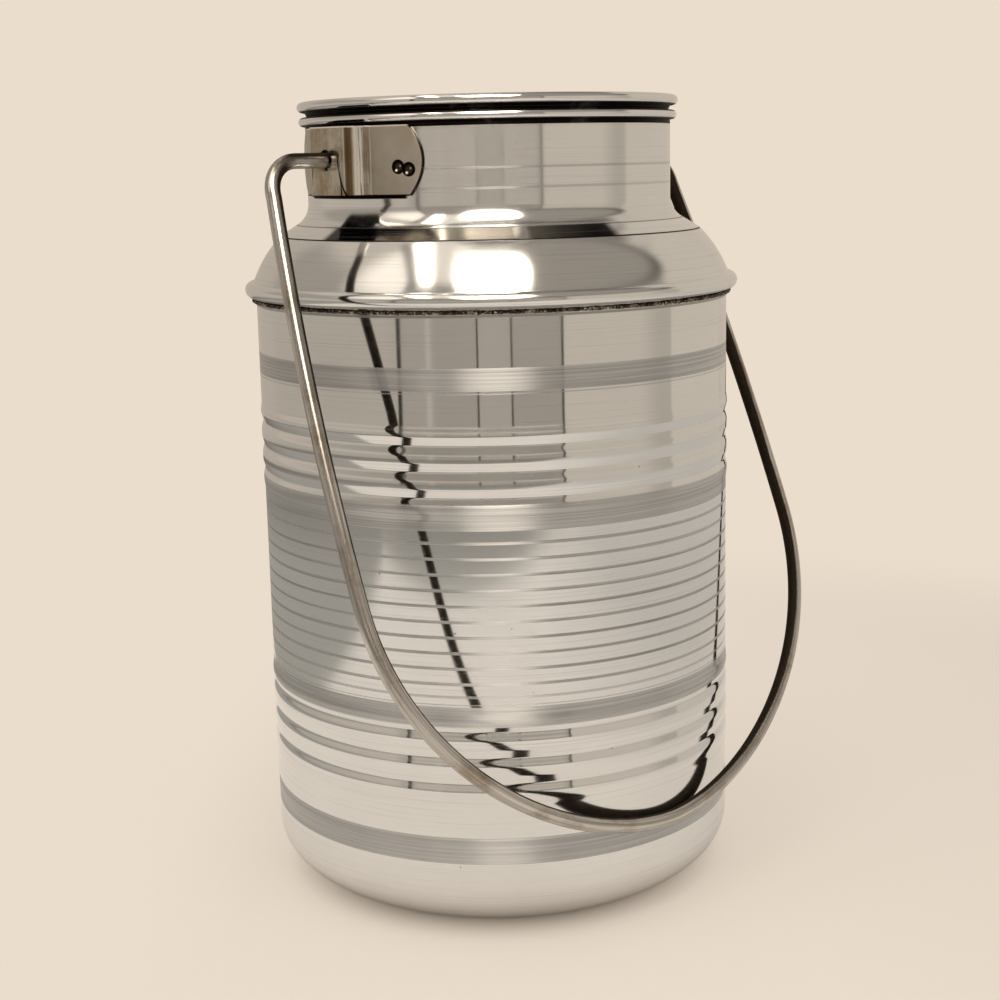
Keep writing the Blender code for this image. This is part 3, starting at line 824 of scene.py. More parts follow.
# painted reflection in the crease between dome and neck: its tone by degrees right of the camera
PAINTED_REFLECTION_TONES = ((-49.0, "EEF2F5"), (-46.5, "0A0806"), (-28.5, "0A0806"), (-26.0, "2E2A26"), (-23.0, "5A554F"),
              (-20.3, "A8A49C"), (-17.4, "A8A49C"), (-14.6, "64615C"), (-11.8, "BCB8B0"), (-8.1, "96928A"),
              (-4.0, "78746E"), (0.5, "6C6862"), (5.6, "605C56"), (9.2, "DCDCDA"), (10.6, "8E8B85"),
              (19.0, "55514B"), (27.7, "100E0B"), (32.5, "100E0B"), (35.0, "EEF2F5"))
EAR_DIRT_AND_SHADOW = ((ear_low.z - 0.9 * MM, ear_low.z + 0.3 * MM, 24.0 * MM),)   # a dark line under each ear: painted shadow on dirty steel
NECK_PAINTED_REFLECTION = (229.0 * MM, 232.9 * MM, PAINTED_REFLECTION_TONES)
# dirty band with painted shade on the wall just under the closing roll
BODY_GRIME_AND_SHADE = ((206.0, 206.8, 0.5),)
# dirty band with painted shade on the lid's wall inside the neck and under its roll
LID_GRIME_AND_SHADE = ((262.0, 270.9, 1.0),)

body_steel = polished_steel("polished_body_sheet", BODY_BANDS, FINE_LINES, BODY_GRIME_AND_SHADE)
shoulder_steel = polished_steel("spun_shoulder_sheet", NECK_LINES, grime_and_shade=NECK_GRIME_AND_SHADE, haze=0.10,
                                painted_reflection=NECK_PAINTED_REFLECTION, dirt_and_shadow_patches=EAR_DIRT_AND_SHADOW)
lid_steel = polished_steel("pressed_lid_sheet", (), grime_and_shade=LID_GRIME_AND_SHADE)
print("body has", len(BODY_BANDS), "bands and", FINE_LINES[2], "fine lines")

# %% [markdown]
# ## Body
#
# The body is one deep drawn cup. Two groups of three rolled grooves stiffen its
# wall. The crests between them round off slowly into each groove, and the slope
# above it mirrors the table as one bright stripe. The wall is broken into short
# steps before it is turned, which keeps the reflections steady where it meets a
# curve.

# %% Body
CORNER_RUN = 30.0 * MM           # elliptical bottom corner, inwards
CORNER_RISE = 20.0 * MM          # and upwards
RIB_GROUPS = ((79.4 * MM, 8.75 * MM), (172.5 * MM, 8.3 * MM))    # top, and groove to groove
RIB_LEAD = 6.2 * MM              # start of a group to its first groove
RIB_RETURN = 7.8 * MM            # last groove back to the plain wall
RIB_FLANK = 2.6 * MM             # straight slope from a groove up to the crest
RIB_TURN_IN = 3.6 * MM           # slower turn from the crest in to the next groove
GROOVE_DEPTH = 0.35 * MM
CREST_FLAT = 0.4 * MM            # level stretch at full height where a group starts and where it ends
CREST_BEND = ((-0.03, -0.15), (0.0, 0.2))    # mm out and up: the flank bends over into the crest
WALL_STEP = 4.0 * MM


def ease(start, end, steps):
    """Points from one place up to another that leave and arrive upright."""
    points = []
    for step in range(1, steps + 1):
        share = step / steps
        eased = share * share * (3 - 2 * share)
        points.append((start[0] + (end[0] - start[0]) * eased, start[1] + (end[1] - start[1]) * share))
    return points


def rib_group(top, pitch, wall):
    """Path up through three sharp grooves with a raised crest on both sides of each."""
    low, high = wall - GROOVE_DEPTH, wall + RIB_PROUD
    lowest = top - RIB_LEAD - 2 * pitch
    path = [(wall, lowest - RIB_RETURN)]
    path += ease(path[0], (high, lowest - RIB_TURN_IN - CREST_FLAT), 8)
    for groove_z in (lowest, lowest + pitch, lowest + 2 * pitch):
        path.append((high, groove_z - RIB_TURN_IN))
        path += ease(path[-1], (low, groove_z), 12)
        path += [(high + out * MM, groove_z + RIB_FLANK + up * MM) for out, up in CREST_BEND]
    return path + ease((high, path[-1][1] + CREST_FLAT), (wall, top), 10)


def body_path():
    """Middle of the body's sheet, from the middle of the base to the rim."""
    wall = body_radius - SHEET / 2
    floor = SHEET / 2
    middle = (wall - CORNER_RUN, floor + CORNER_RISE)
    path = [(0.0, floor)] + arc(middle, (CORNER_RUN, CORNER_RISE), -90.0, 0.0, 30)
    for top, pitch in RIB_GROUPS:
        path += rib_group(top, pitch, wall)
    path.append((wall, body_top))
    return refine(path, WALL_STEP)


body = turned("body_drawn", sheet_outline(body_path(), SHEET), True, body_steel)
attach(body, "can")
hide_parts("body_shell")

# %% [markdown]
# ## Shoulder and neck
#
# The shoulder is spun from a second sheet. From the bottom up it is the roll
# that closes it over the body, the dome, the hollow where dome turns into neck,
# the straight neck, and its rolled rim. Every part is an arc that meets the next
# without a kink, because a kink would show as a broken reflection.

# %% Shoulder and neck
NECK_RADIUS = 62.8 * MM
RIM_ROLL = 1.5 * MM
RIM_CENTRE_Z = shoulder_high.z - RIM_ROLL
FILLET_TOP_Z = RIM_CENTRE_Z - 27.3 * MM
# down from the neck: length in mm, the tilt from upright that it ends with, in degrees, and steps
SHOULDER_LEGS = ((8.7, 58.0, 22), (6.8, 58.0, 2), (0.3, 47.0, 3), (4.8, 38.5, 8))
BEAD_ROLL = 2.6 * MM
BEAD_CENTRE_Z = 211.3 * MM
BEAD_TUCK = -110.0               # degrees where the rolled edge stops, under the roll
BEAD_START = 107.0               # degrees where the dome meets the roll


def rolled_edge(wall_radius, centre_z, roll_radius):
    """Path of an edge rolled outwards, from the wall over the top and under."""
    bend = roll_radius - SHEET / 2
    return round_arc((wall_radius + bend, centre_z), bend, 180.0, -100.0, 26)


def bend_along(start, legs):
    """Path down from a point: each leg is an arc that leaves the last one without a kink."""
    points = [start]
    r, z = start
    tilt = 0.0
    for length, end_tilt, steps in legs:
        for step in range(steps):
            angle = math.radians(tilt + (end_tilt - tilt) * (step + 0.5) / steps)
            r += length * MM / steps * math.sin(angle)
            z -= length * MM / steps * math.cos(angle)
            points.append((r, z))
        tilt = end_tilt
    return points


def arc_between(start, end, tilt, steps):
    """Arc that leaves start with a tilt from upright and runs down to end."""
    reach = end[0] - start[0]
    drop = start[1] - end[1]
    end_tilt = 2 * math.degrees(math.atan2(reach, drop)) - tilt
    bend = math.hypot(reach, drop) / (2 * math.sin(math.radians(tilt - end_tilt) / 2))
    middle = (start[0] - bend * math.cos(math.radians(tilt)), start[1] - bend * math.sin(math.radians(tilt)))
    return round_arc(middle, bend, tilt, end_tilt, steps)


def shoulder_path():
    """From under the closing roll, over it, up the dome and the neck to the rolled rim."""
    bend = BEAD_ROLL - SHEET / 2
    bead = round_arc((shoulder_high.x - BEAD_ROLL, BEAD_CENTRE_Z), bend, BEAD_TUCK, BEAD_START, 30)
    neck = NECK_RADIUS - SHEET / 2
    upper = bend_along((neck, FILLET_TOP_Z), SHOULDER_LEGS)
    dome = arc_between(upper[-1], bead[-1], SHOULDER_LEGS[-1][1], 22)
    path = bead + dome[1:-1][::-1] + upper[::-1] + rolled_edge(neck, RIM_CENTRE_Z, RIM_ROLL)
    return refine(path, WALL_STEP)


shoulder = turned("shoulder_spun", sheet_outline(shoulder_path(), SHEET), False, shoulder_steel)
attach(shoulder, "can")
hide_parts("shoulder_neck")

# %% [markdown]
# ## Lid
#
# The lid is a dish that plugs the neck: a rolled rim to lift it by, a wall that
# leans in a little, a rounded corner, and a floor with a raised middle panel.

# %% Lid
LID_ROLL = 1.65 * MM
LID_TAPER = 0.7 * MM
LID_CORNER = 4.0 * MM
LID_PANEL_RADIUS = 43.0 * MM
LID_PANEL_RISE = 1.4 * MM
PANEL_SLOPE = 1.8 * MM           # width of the step down from the panel
PANEL_BEND = 2.0 * MM            # its bends reach this far to both sides
LID_SEAT = 1.0 * MM              # upright wall below the middle of the neck's rim
LID_FLARE = (0.45 * MM, 0.4 * MM)    # then it leans out: how far, and how high above that rim


def lid_path():
    """Middle of the lid's sheet, from the middle of the dish to the rolled rim."""
    rim_z = lid_high.z - LID_ROLL
    wall = lid_high.x - 2 * LID_ROLL + SHEET / 2
    plug = NECK_RADIUS - SHEET - GAP - SHEET / 2
    low = plug - LID_TAPER
    floor = lid_low.z + SHEET / 2
    step = [(LID_PANEL_RADIUS - PANEL_BEND, floor + LID_PANEL_RISE),
            (LID_PANEL_RADIUS, floor + LID_PANEL_RISE),
            (LID_PANEL_RADIUS + PANEL_SLOPE, floor),
            (LID_PANEL_RADIUS + PANEL_SLOPE + PANEL_BEND, floor)]
    upper = [(plug, RIM_CENTRE_Z - LID_SEAT),
             (plug, RIM_CENTRE_Z),
             (plug + LID_FLARE[0], RIM_CENTRE_Z + RIM_ROLL + LID_FLARE[1]),
             (wall, rim_z - LID_ROLL)]
    path = [(0.0, floor + LID_PANEL_RISE)] + soften(step, 3)
    path += round_arc((low - LID_CORNER, floor + LID_CORNER), LID_CORNER, -90.0, 0.0, 12)
    path += soften(upper, 2) + rolled_edge(wall, rim_z, LID_ROLL)
    return refine(path, WALL_STEP)


lid = turned("lid_pressed", sheet_outline(lid_path(), SHEET), True, lid_steel)
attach(lid, "lid")
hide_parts("lid_pan")

# %% [markdown]
# ## Weld under the closing roll
#
# Where the roll meets the wall, a run of weld metal was laid and left rough. A
# run follows the seam and repeats, so Geometry Nodes lays a few hundred small
# blobs on a circle, each with its own size, and noise pushes their skin about.
# They overlap into one ragged line. The seed is fixed, so the run is the same
# each time.

# %% Weld metal
SCALE_TONES = ((0.56, "14100C"), (0.68, "3A3024"), (0.77, "8F8370"), (0.86, "E2DCD0"))
GRAIN_SIZE = 1400.0              # per metre
WIPED_SIZE = 160.0


def weld_metal():
    """Oxidised weld metal: dark scale with bright grains where it was wiped."""
    material, tree = new_material("oxidised_weld_metal")
    place = add(tree, "ShaderNodeTexCoord").outputs["Object"]
    grains = add(tree, "ShaderNodeTexNoise", {"Vector": place, "Scale": GRAIN_SIZE, "Detail": 4.0,
                                              "Roughness": 0.7})
    wiped = add(tree, "ShaderNodeTexNoise", {"Vector": place, "Scale": WIPED_SIZE, "Detail": 2.0})
    amount = add(tree, "ShaderNodeMath", {0: wiped.outputs["Fac"], 1: 0.35, 2: grains.outputs["Fac"]},
                 operation="MULTIPLY_ADD")
    ramp = add(tree, "ShaderNodeValToRGB", {0: amount.outputs[0]}, SCALE_TONES)
    rough = add(tree, "ShaderNodeMapRange", {"Value": amount.outputs[0], "From Min": 0.5, "From Max": 0.8,
                                             "To Min": 0.62, "To Max": 0.28})
    bump = add(tree, "ShaderNodeBump", {"Strength": 0.6, "Distance": 0.2 * MM,
                                        "Height": grains.outputs["Fac"]})
    shader = add(tree, "ShaderNodeBsdfPrincipled", {"Base Color": ramp.outputs[0], "Metallic": 0.85,
                                                    "Roughness": rough.outputs[0], "Normal": bump.outputs[0]})
    add(tree, "ShaderNodeOutputMaterial", {"Surface": shader.outputs[0]})
    return material


# %% Weld run
WELD_BLOBS = 620
BLOB_RADIUS = 0.78 * MM
BLOB_STRAY = 0.5 * MM            # how far noise pushes their skin
SKIN_WAVES = 700.0               # the noise's scale, per metre
WELD_OFF = 0.75 * MM             # middle of the run off the wall
WELD_RISE = 0.45 * MM            # and above the middle of its CAD box
SEAM_STEPS = 240
WELD_SEED = 11


def weld_tree():
    """Lay blobs along a curve."""
    tree = new_tree("Lay a weld run", [("Blobs", "NodeSocketInt"), ("Blob radius", "NodeSocketFloat"),
                                       ("Stray", "NodeSocketFloat"), ("Seed", "NodeSocketInt"),
                                       ("Material", "NodeSocketMaterial")])
    given = add(tree, "NodeGroupInput").outputs
    seam = add(tree, "GeometryNodeMeshToCurve", {"Mesh": given["Geometry"]})
    spots = add(tree, "GeometryNodeCurveToPoints", {"Curve": seam.outputs[0], "Count": given["Blobs"]})
    blob = add(tree, "GeometryNodeMeshIcoSphere", {"Radius": given["Blob radius"], "Subdivisions": 2})
    low = add(tree, "ShaderNodeCombineXYZ", {"X": 0.9, "Y": 0.8, "Z": 0.6})
    high = add(tree, "ShaderNodeCombineXYZ", {"X": 1.15, "Y": 1.0, "Z": 1.3})
    size = add(tree, "FunctionNodeRandomValue", {0: low.outputs[0], 1: high.outputs[0],
                                                 "Seed": given["Seed"]},
               data_type="FLOAT_VECTOR")
    blobs = add(tree, "GeometryNodeInstanceOnPoints", {"Points": spots.outputs["Points"],
                                                       "Instance": blob.outputs["Mesh"],
                                                       "Rotation": spots.outputs["Rotation"],
                                                       "Scale": size.outputs[0]})
    real = add(tree, "GeometryNodeRealizeInstances", {"Geometry": blobs.outputs[0]})
    place = add(tree, "GeometryNodeInputPosition").outputs[0]
    noise = add(tree, "ShaderNodeTexNoise", {"Vector": place, "Scale": SKIN_WAVES, "Detail": 2.0})
    middle = add(tree, "ShaderNodeVectorMath", {0: noise.outputs["Color"], 1: (0.5, 0.5, 0.5)},
                 operation="SUBTRACT")
    stray = add(tree, "ShaderNodeVectorMath", {0: middle.outputs[0], "Scale": given["Stray"]},
                operation="SCALE")
    ragged = add(tree, "GeometryNodeSetPosition", {"Geometry": real.outputs[0], "Offset": stray.outputs[0]})
    finish_tree(tree, ragged.outputs[0], given["Material"])
    return tree


def ring_mesh(name, radius, height, count):
    """Edges of a level circle."""
    mesh = bpy.data.meshes.new(name)
    points = []
    for index in range(count):
        angle = 2 * math.pi * index / count
        points.append((radius * math.cos(angle), radius * math.sin(angle), height))
    mesh.from_pydata(points, [(index, (index + 1) % count) for index in range(count)], [])
    return mesh


weld_middle = (weld_low.z + weld_high.z) / 2 + WELD_RISE
seam = new_object("seam_weld_run", ring_mesh("seam", body_radius + WELD_OFF, weld_middle, SEAM_STEPS))
run_tree(seam, weld_tree(), {"Blobs": WELD_BLOBS, "Blob radius": BLOB_RADIUS, "Stray": BLOB_STRAY,
                             "Seed": WELD_SEED, "Material": weld_metal()})
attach(seam, "can")
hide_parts("seam_weld")

# %% [markdown]
# ## Ears
#
# Each ear is a strip bent like the brim of a hat: two rounded flanges are
# resistance welded to the neck, and the raised plate between them carries the
# pivot hole. It is lofted row by row from its plan, drilled, and its edges are
# broken a little. The welds left two burnt pits on each flange, with painted
# glints on the grains in them, and their heat tinted the steel straw and brown.
# Dirt and painted shade lie along its lower border and in the hollow bend,
# painted brown shade lies on the outer bend, and painted highlights brighten the
# upper border and the riser below the outer bend.

# %% Heat tinted strip
PIVOT_Z = next(joint["pos_m"][2] for joint in frame["joints"] if joint["name"] == "bail_swing")
PIT_RADIUS = 2.3 * MM
PIT_GLINTS = ((0.4, 0.3), (-0.7, -1.0))      # painted glints on the grains left in a pit: degrees round, mm up
# tints and painted light over the bends, by millimetres from the middle of an ear: from, to, softness,
# colour, strength, and whether it only follows the scratches
# rows: the flanges' own lighter tone, painted brown shade on the outer bend, a painted highlight line at its
# edge, a painted highlight on the riser below it, dirty streaks with painted shade in the hollow
BEND_TINTS_AND_LIGHT = ((12.6, 40.0, 0.4, "BEB9B0", 0.75, False), (8.8, 9.8, 0.25, "5A4526", 0.9, False),
              (8.5, 8.7, 0.1, "D8D2C6", 0.8, False), (9.9, 11.3, 0.3, "F0EEEA", 1.0, False),
              (10.6, 12.8, 0.4, "3C2E1C", 0.9, True))
LINE_START = 6.3 * MM            # from the middle of an ear to the plate's painted shade line at the bend
LINE_SWING = 2.7 * MM            # how far it swings out towards the lower corner
LINE_POWER = 1.5                 # how late it swings
LINE_HALF = 0.24 * MM
BORDER_HIGHLIGHT = 0.40 * MM           # painted highlight along the upper border
BORDER_DIRT_AND_SHADE = 0.45 * MM          # dirty lower border with painted shade
RUBBED_PLATE = (11.0 * MM, 13.0 * MM)    # the polish of the plate ends between these
STRIP_SCRATCHES = (1500.0, 1500.0, 60.0)    # per metre: upright ones, some 17 mm long
STRIP_CLOUDS = 110.0
# dark tone for dirty marks and painted shade on the ears' lower border and on faces turned down or back
SOOT_AND_SHADE = "17110A"


def bend_tint_and_light(tree, place, streaks, colour):
    """Colour over an ear's bends: painted brown shade on the outer bend, a painted highlight below it, and
    dirty streaks with painted shade in the hollow.
    """
    side = add(tree, "ShaderNodeMath", {0: add(tree, "ShaderNodeSeparateXYZ", {0: place}).outputs["Y"]},
               operation="ABSOLUTE").outputs[0]
    for low, high, soft, tone, strength, streaky in BEND_TINTS_AND_LIGHT:
        band = between(tree, side, low * MM, high * MM, soft * MM)
        if streaky:
            worn = add(tree, "ShaderNodeMapRange", {"Value": streaks, "From Min": 0.48, "From Max": 0.62})
            band = add(tree, "ShaderNodeMath", {0: band, 1: worn.outputs[0]}, operation="MULTIPLY").outputs[0]
        band = add(tree, "ShaderNodeMath", {0: band, 1: strength}, operation="MULTIPLY").outputs[0]
        colour = add(tree, "ShaderNodeMix", {"Factor": band, 6: colour, 7: tone},
                     data_type="RGBA").outputs[2]
    return colour


def border_light_and_dirt(tree, place, colour):
    """Colour with a painted highlight on the upper border, a dirty lower border with painted shade, and a
    painted shade line at the bend below the pivot.
    """
    axis = add(tree, "ShaderNodeSeparateXYZ", {0: place}).outputs
    side = add(tree, "ShaderNodeMath", {0: axis["Y"]}, operation="ABSOLUTE").outputs[0]
    depth = add(tree, "ShaderNodeMapRange", {"Value": axis["Z"], "From Min": PIVOT_Z, "From Max": ear_low.z})
    swing = add(tree, "ShaderNodeMath", {0: depth.outputs[0], 1: LINE_POWER}, operation="POWER")
    line = add(tree, "ShaderNodeMath", {0: swing.outputs[0], 1: LINE_SWING, 2: LINE_START},
               operation="MULTIPLY_ADD")
    off = add(tree, "ShaderNodeMath", {0: side, 1: line.outputs[0]}, operation="SUBTRACT")
    away = add(tree, "ShaderNodeMath", {0: off.outputs[0]}, operation="ABSOLUTE")
    below = between(tree, axis["Z"], ear_low.z - MM, PIVOT_Z + 1.5 * MM, 0.8 * MM)
    near = inside(tree, away.outputs[0], LINE_HALF, SOFT_EDGE)
    gap = add(tree, "ShaderNodeMath", {0: near, 1: below}, operation="MULTIPLY").outputs[0]
    lower = between(tree, axis["Z"], ear_low.z - MM, ear_low.z + BORDER_DIRT_AND_SHADE, 0.15 * MM)
    upper = between(tree, axis["Z"], ear_high.z - BORDER_HIGHLIGHT, ear_high.z + MM, SOFT_EDGE)
    # painted highlight on the upper border, painted shade on the dirty lower border, and the painted shade
    # line at the bend
    for factor, tone in ((upper, "F6F4F0"), (lower, SOOT_AND_SHADE), (gap, "0E0A06")):
        colour = add(tree, "ShaderNodeMix", {"Factor": factor, 6: colour, 7: tone},
                     data_type="RGBA").outputs[2]
    return colour


def pit_tint(tree, place, pits, colour):
    """Colour over burnt pits, how burnt it is: a black ring, dull metal in its middle, painted glints on its
    grains.
    """
    burnt = 0.0
    core = 0.0
    grain = 0.0
    for middle, glints in pits:
        away = add(tree, "ShaderNodeVectorMath", {0: place, 1: middle}, operation="DISTANCE").outputs["Value"]
        burnt = larger(tree, burnt, inside(tree, away, PIT_RADIUS, 0.15 * MM))
        core = larger(tree, core, inside(tree, away, 0.55 * PIT_RADIUS, 0.35 * MM))
        for glint in glints:
            near = add(tree, "ShaderNodeVectorMath", {0: place, 1: glint}, operation="DISTANCE")
            grain = larger(tree, grain, inside(tree, near.outputs["Value"], 0.48 * MM, 0.18 * MM))
    # the grain mask carries painted glints in near white
    for factor, tone in ((burnt, "0E0B08"), (core, "3A342B"), (grain, "FFFCF6")):
        colour = add(tree, "ShaderNodeMix", {"Factor": factor, 6: colour, 7: tone},
                     data_type="RGBA").outputs[2]
    return colour, burnt


def shade_and_dirt_faces(tree, normal, place):
    """1 on edges and faces that look sideways, down or back at the can, where painted shade and dirty marks
    lie.
    """
    flat = add(tree, "ShaderNodeVectorMath", {0: place, 1: (1.0, 1.0, 0.0)}, operation="MULTIPLY")
    outwards = add(tree, "ShaderNodeVectorMath", {0: flat.outputs[0]}, operation="NORMALIZE")
    facing = add(tree, "ShaderNodeVectorMath", {0: normal, 1: outwards.outputs[0]}, operation="DOT_PRODUCT")
    turned_away = add(tree, "ShaderNodeMapRange", {"Value": facing.outputs["Value"], "From Min": 0.30,
                                                   "From Max": 0.10})
    upwards = add(tree, "ShaderNodeSeparateXYZ", {0: normal}).outputs["Z"]
    not_up = add(tree, "ShaderNodeMapRange", {"Value": upwards, "From Min": 0.6, "From Max": 0.3})
    return add(tree, "ShaderNodeMath", {0: turned_away.outputs[0], 1: not_up.outputs[0]},
               operation="MULTIPLY").outputs[0]


def tinted_strip(name, pits, stain):
    """Worn strip with straw and brown heat tint, fine scratches, burnt pits with painted glints, and dirty
    edges and bends with painted light and shade.
    """
    material, tree = new_material(name)
    coordinates = add(tree, "ShaderNodeTexCoord").outputs
    place = coordinates["Object"]
    stretch = add(tree, "ShaderNodeVectorMath", {0: place, 1: STRIP_SCRATCHES}, operation="MULTIPLY")
    scratch = add(tree, "ShaderNodeTexNoise", {"Vector": stretch.outputs[0], "Scale": 1.0, "Detail": 5.0})
    cloud = add(tree, "ShaderNodeTexNoise", {"Vector": place, "Scale": STRIP_CLOUDS, "Detail": 6.0,
                                             "Roughness": 0.62})
    tones = ((0.40, "BAB5AB"), (0.53, "A2998A"), (0.76, stain))
    ramp = add(tree, "ShaderNodeValToRGB", {0: cloud.outputs["Fac"]}, tones)
    worn = add(tree, "ShaderNodeMapRange", {"Value": scratch.outputs["Fac"], "From Min": 0.45,
                                            "From Max": 0.75,
                                            "To Min": 0.0, "To Max": 0.22})
    colour = add(tree, "ShaderNodeMix", {"Factor": worn.outputs[0], 6: ramp.outputs[0], 7: "DAD6CE"},
                 data_type="RGBA").outputs[2]
    # painted shade and dirty marks on faces turned sideways, down or back
    dirt_and_shade = shade_and_dirt_faces(tree, coordinates["Normal"], place) if pits else 0.0
    burnt = 0.0
    if pits:
        colour = bend_tint_and_light(tree, place, scratch.outputs["Fac"], colour)
        colour = border_light_and_dirt(tree, place, colour)
        colour, burnt = pit_tint(tree, place, pits, colour)
        colour = add(tree, "ShaderNodeMix", {"Factor": dirt_and_shade, 6: colour, 7: SOOT_AND_SHADE},
                     data_type="RGBA").outputs[2]
    dull = larger(tree, burnt, dirt_and_shade)
    side = add(tree, "ShaderNodeMath", {0: add(tree, "ShaderNodeSeparateXYZ", {0: place}).outputs["Y"]},
               operation="ABSOLUTE")
    matt = add(tree, "ShaderNodeMapRange", {"Value": side.outputs[0], "From Min": RUBBED_PLATE[0],
                                            "From Max": RUBBED_PLATE[1], "To Min": 0.08, "To Max": 0.34})
    base = add(tree, "ShaderNodeMath", {0: scratch.outputs["Fac"], 1: 0.16, 2: matt.outputs[0]},
               operation="MULTIPLY_ADD")
    rough = add(tree, "ShaderNodeMix", {"Factor": dull, "A": base.outputs[0], "B": 0.5})
    bump = add(tree, "ShaderNodeBump", {"Strength": 0.10, "Distance": 0.05 * MM,
                                        "Height": scratch.outputs["Fac"]})
    shader = add(tree, "ShaderNodeBsdfPrincipled", {"Base Color": colour, "Metallic": 1.0,
                                                    "Roughness": rough.outputs[0], "Normal": bump.outputs[0]})
    add(tree, "ShaderNodeOutputMaterial", {"Surface": shader.outputs[0]})
    return material


# %% Bent strips
BEVEL_FROM = 50.0                # degrees: sharper edges are bevelled
HARD_FROM = 32.0                 # and then sharper ones than this stay hard


def strap_mesh(name, rows, turn_matrix):
    """Closed strip lofted through rows of (height, path), placed by a matrix."""
    mesh = bpy.data.meshes.new(name)
    work = bmesh.new()
    loops = []
    for height, path in rows:
        loops.append([work.verts.new((x, y, height)) for x, y in sheet_outline(path, STRAP)])
    count = len(loops[0])
    for lower, upper in zip(loops, loops[1:]):
        for index in range(count):
            following = (index + 1) % count
            work.faces.new((lower[index], lower[following], upper[following], upper[index]))
    for loop in (loops[0], loops[-1]):
        for index in range(count // 2 - 1):
            work.faces.new((loop[index], loop[index + 1], loop[-index - 2], loop[-index - 1]))
    work.transform(turn_matrix)
    bmesh.ops.recalc_face_normals(work, faces=work.faces)
    work.to_mesh(mesh)
    work.free()
    return mesh


def strap_rows(half_width, count, path_for):
    """Rows across a strip; path_for takes how far a row is into the rounded ends, 0 to 1."""
    rows = []
    for index in range(count):
        share = -math.cos(math.pi * index / (count - 1))
        rows.append((share * half_width, path_for(1.0 - share * share)))
    return rows


# %% Ears
EAR_FOOT_ANGLE = 11.5            # degrees where the flange starts to follow the neck
EAR_CORNER_ANGLE = 23.8
EAR_TIP_ANGLE = 28.0
EAR_PLATE_HALF = 9.1 * MM
# bends of a riser: mm out from the flange or in from the plate, and mm wider than the plate
RISER_LOW = ((0.7, 2.4), (2.7, 1.1))
RISER_HIGH = ((1.6, 0.3), (0.5, -0.3), (0.0, -1.5))
EAR_HOLE_RADIUS = 3.35 * MM
DRILL_LENGTH = 12.0 * MM
EAR_BEVEL = 0.28 * MM
EAR_ROWS = 45
PITS = ((20.7, -2.0), (24.0, -2.8))    # degrees from the middle of an ear, and mm up
PIT_DEPTH = 0.5 * MM
PIT_RIM = 0.22                   # height of its raised rim, as a share of its depth
PIT_RIM_AT = 1.05                # where the rim is highest, in pit radii
PIT_RIM_WIDTH = 0.16
PIT_REACH = 1.35                 # where the rim ends
ear_reach = -ear_low.x
ear_middle_z = (ear_low.z + ear_high.z) / 2


def ear_path(bulge):
    """Plan of an ear on the +X side: flange, riser, raised plate, riser, flange."""
    seat = NECK_RADIUS + GAP + STRAP / 2
    plate = ear_reach - STRAP / 2
    tip = EAR_CORNER_ANGLE + (EAR_TIP_ANGLE - EAR_CORNER_ANGLE) * bulge
    flange = round_arc((0.0, 0.0), seat, tip, EAR_FOOT_ANGLE, 26)
    half = EAR_PLATE_HALF - STRAP / 2
    riser = [flange[-1]]
    riser += [(seat + out * MM, half + wide * MM) for out, wide in RISER_LOW]
    riser += [(plate - short * MM, half + wide * MM) for short, wide in RISER_HIGH]
    side = flange[:-1] + soften(riser, 2)
    return side + [(x, -y) for x, y in reversed(side)]


def drilled(obj, place, radius, direction):
    """Cut a round hole through an object along a direction."""
    mesh = bpy.data.meshes.new("drill")
    work = bmesh.new()
    bmesh.ops.create_cone(work, cap_ends=True, segments=48, radius1=radius, radius2=radius,
                          depth=DRILL_LENGTH)
    work.transform(Matrix.Translation(place) @ Vector(direction).to_track_quat("Z", "Y").to_matrix().to_4x4())
    work.to_mesh(mesh)
    work.free()
    drill = new_object("drill", mesh)
    cut = obj.modifiers.new("Hole", "BOOLEAN")
    cut.operation = "DIFFERENCE"
    cut.solver = "EXACT"
    cut.object = drill
    apply_modifiers(obj)
    bpy.data.objects.remove(drill)


def apply_modifiers(obj):
    """Make the modifiers' result the object's own mesh."""
    graph = bpy.context.evaluated_depsgraph_get()
    mesh = bpy.data.meshes.new_from_object(obj.evaluated_get(graph), preserve_all_data_layers=True,
                                           depsgraph=graph)
    obj.modifiers.clear()
    obj.data = mesh
    mesh.name = obj.name


def break_edges(obj, width, material):
    """Bevel sharp edges, keep only the remaining sharp ones hard, and give the piece its material."""
    bevel = obj.modifiers.new("Broken edges", "BEVEL")
    bevel.width = width
    bevel.segments = 2
    bevel.limit_method = "ANGLE"
    bevel.angle_limit = math.radians(BEVEL_FROM)
    bevel.harden_normals = False
    apply_modifiers(obj)
    obj.data.shade_smooth()
    obj.data.set_sharp_from_angle(angle=math.radians(HARD_FROM))
    face_outwards(obj.data)
    obj.data.materials.clear()
    obj.data.materials.append(material)


def press_pits(mesh, pits):
    """Sink a rimmed crater into the outer skin round each middle."""
    for vertex in mesh.vertices:
        outward = Vector((vertex.co.x, vertex.co.y, 0.0)).normalized()
        for middle, _ in pits:
            away = (vertex.co - Vector(middle)).length / PIT_RADIUS
            if away < PIT_REACH:
                bowl = -max(0.0, 1.0 - away ** 2)
                rim = PIT_RIM * math.exp(-((away - PIT_RIM_AT) / PIT_RIM_WIDTH) ** 2)
                vertex.co += outward * PIT_DEPTH * (bowl + rim)


def on_skin(degrees, height):
    """Place on the outer skin of a flange."""
    angle = math.radians(degrees)
    skin = NECK_RADIUS + GAP + STRAP
    return (skin * math.cos(angle), skin * math.sin(angle), ear_middle_z + height * MM)


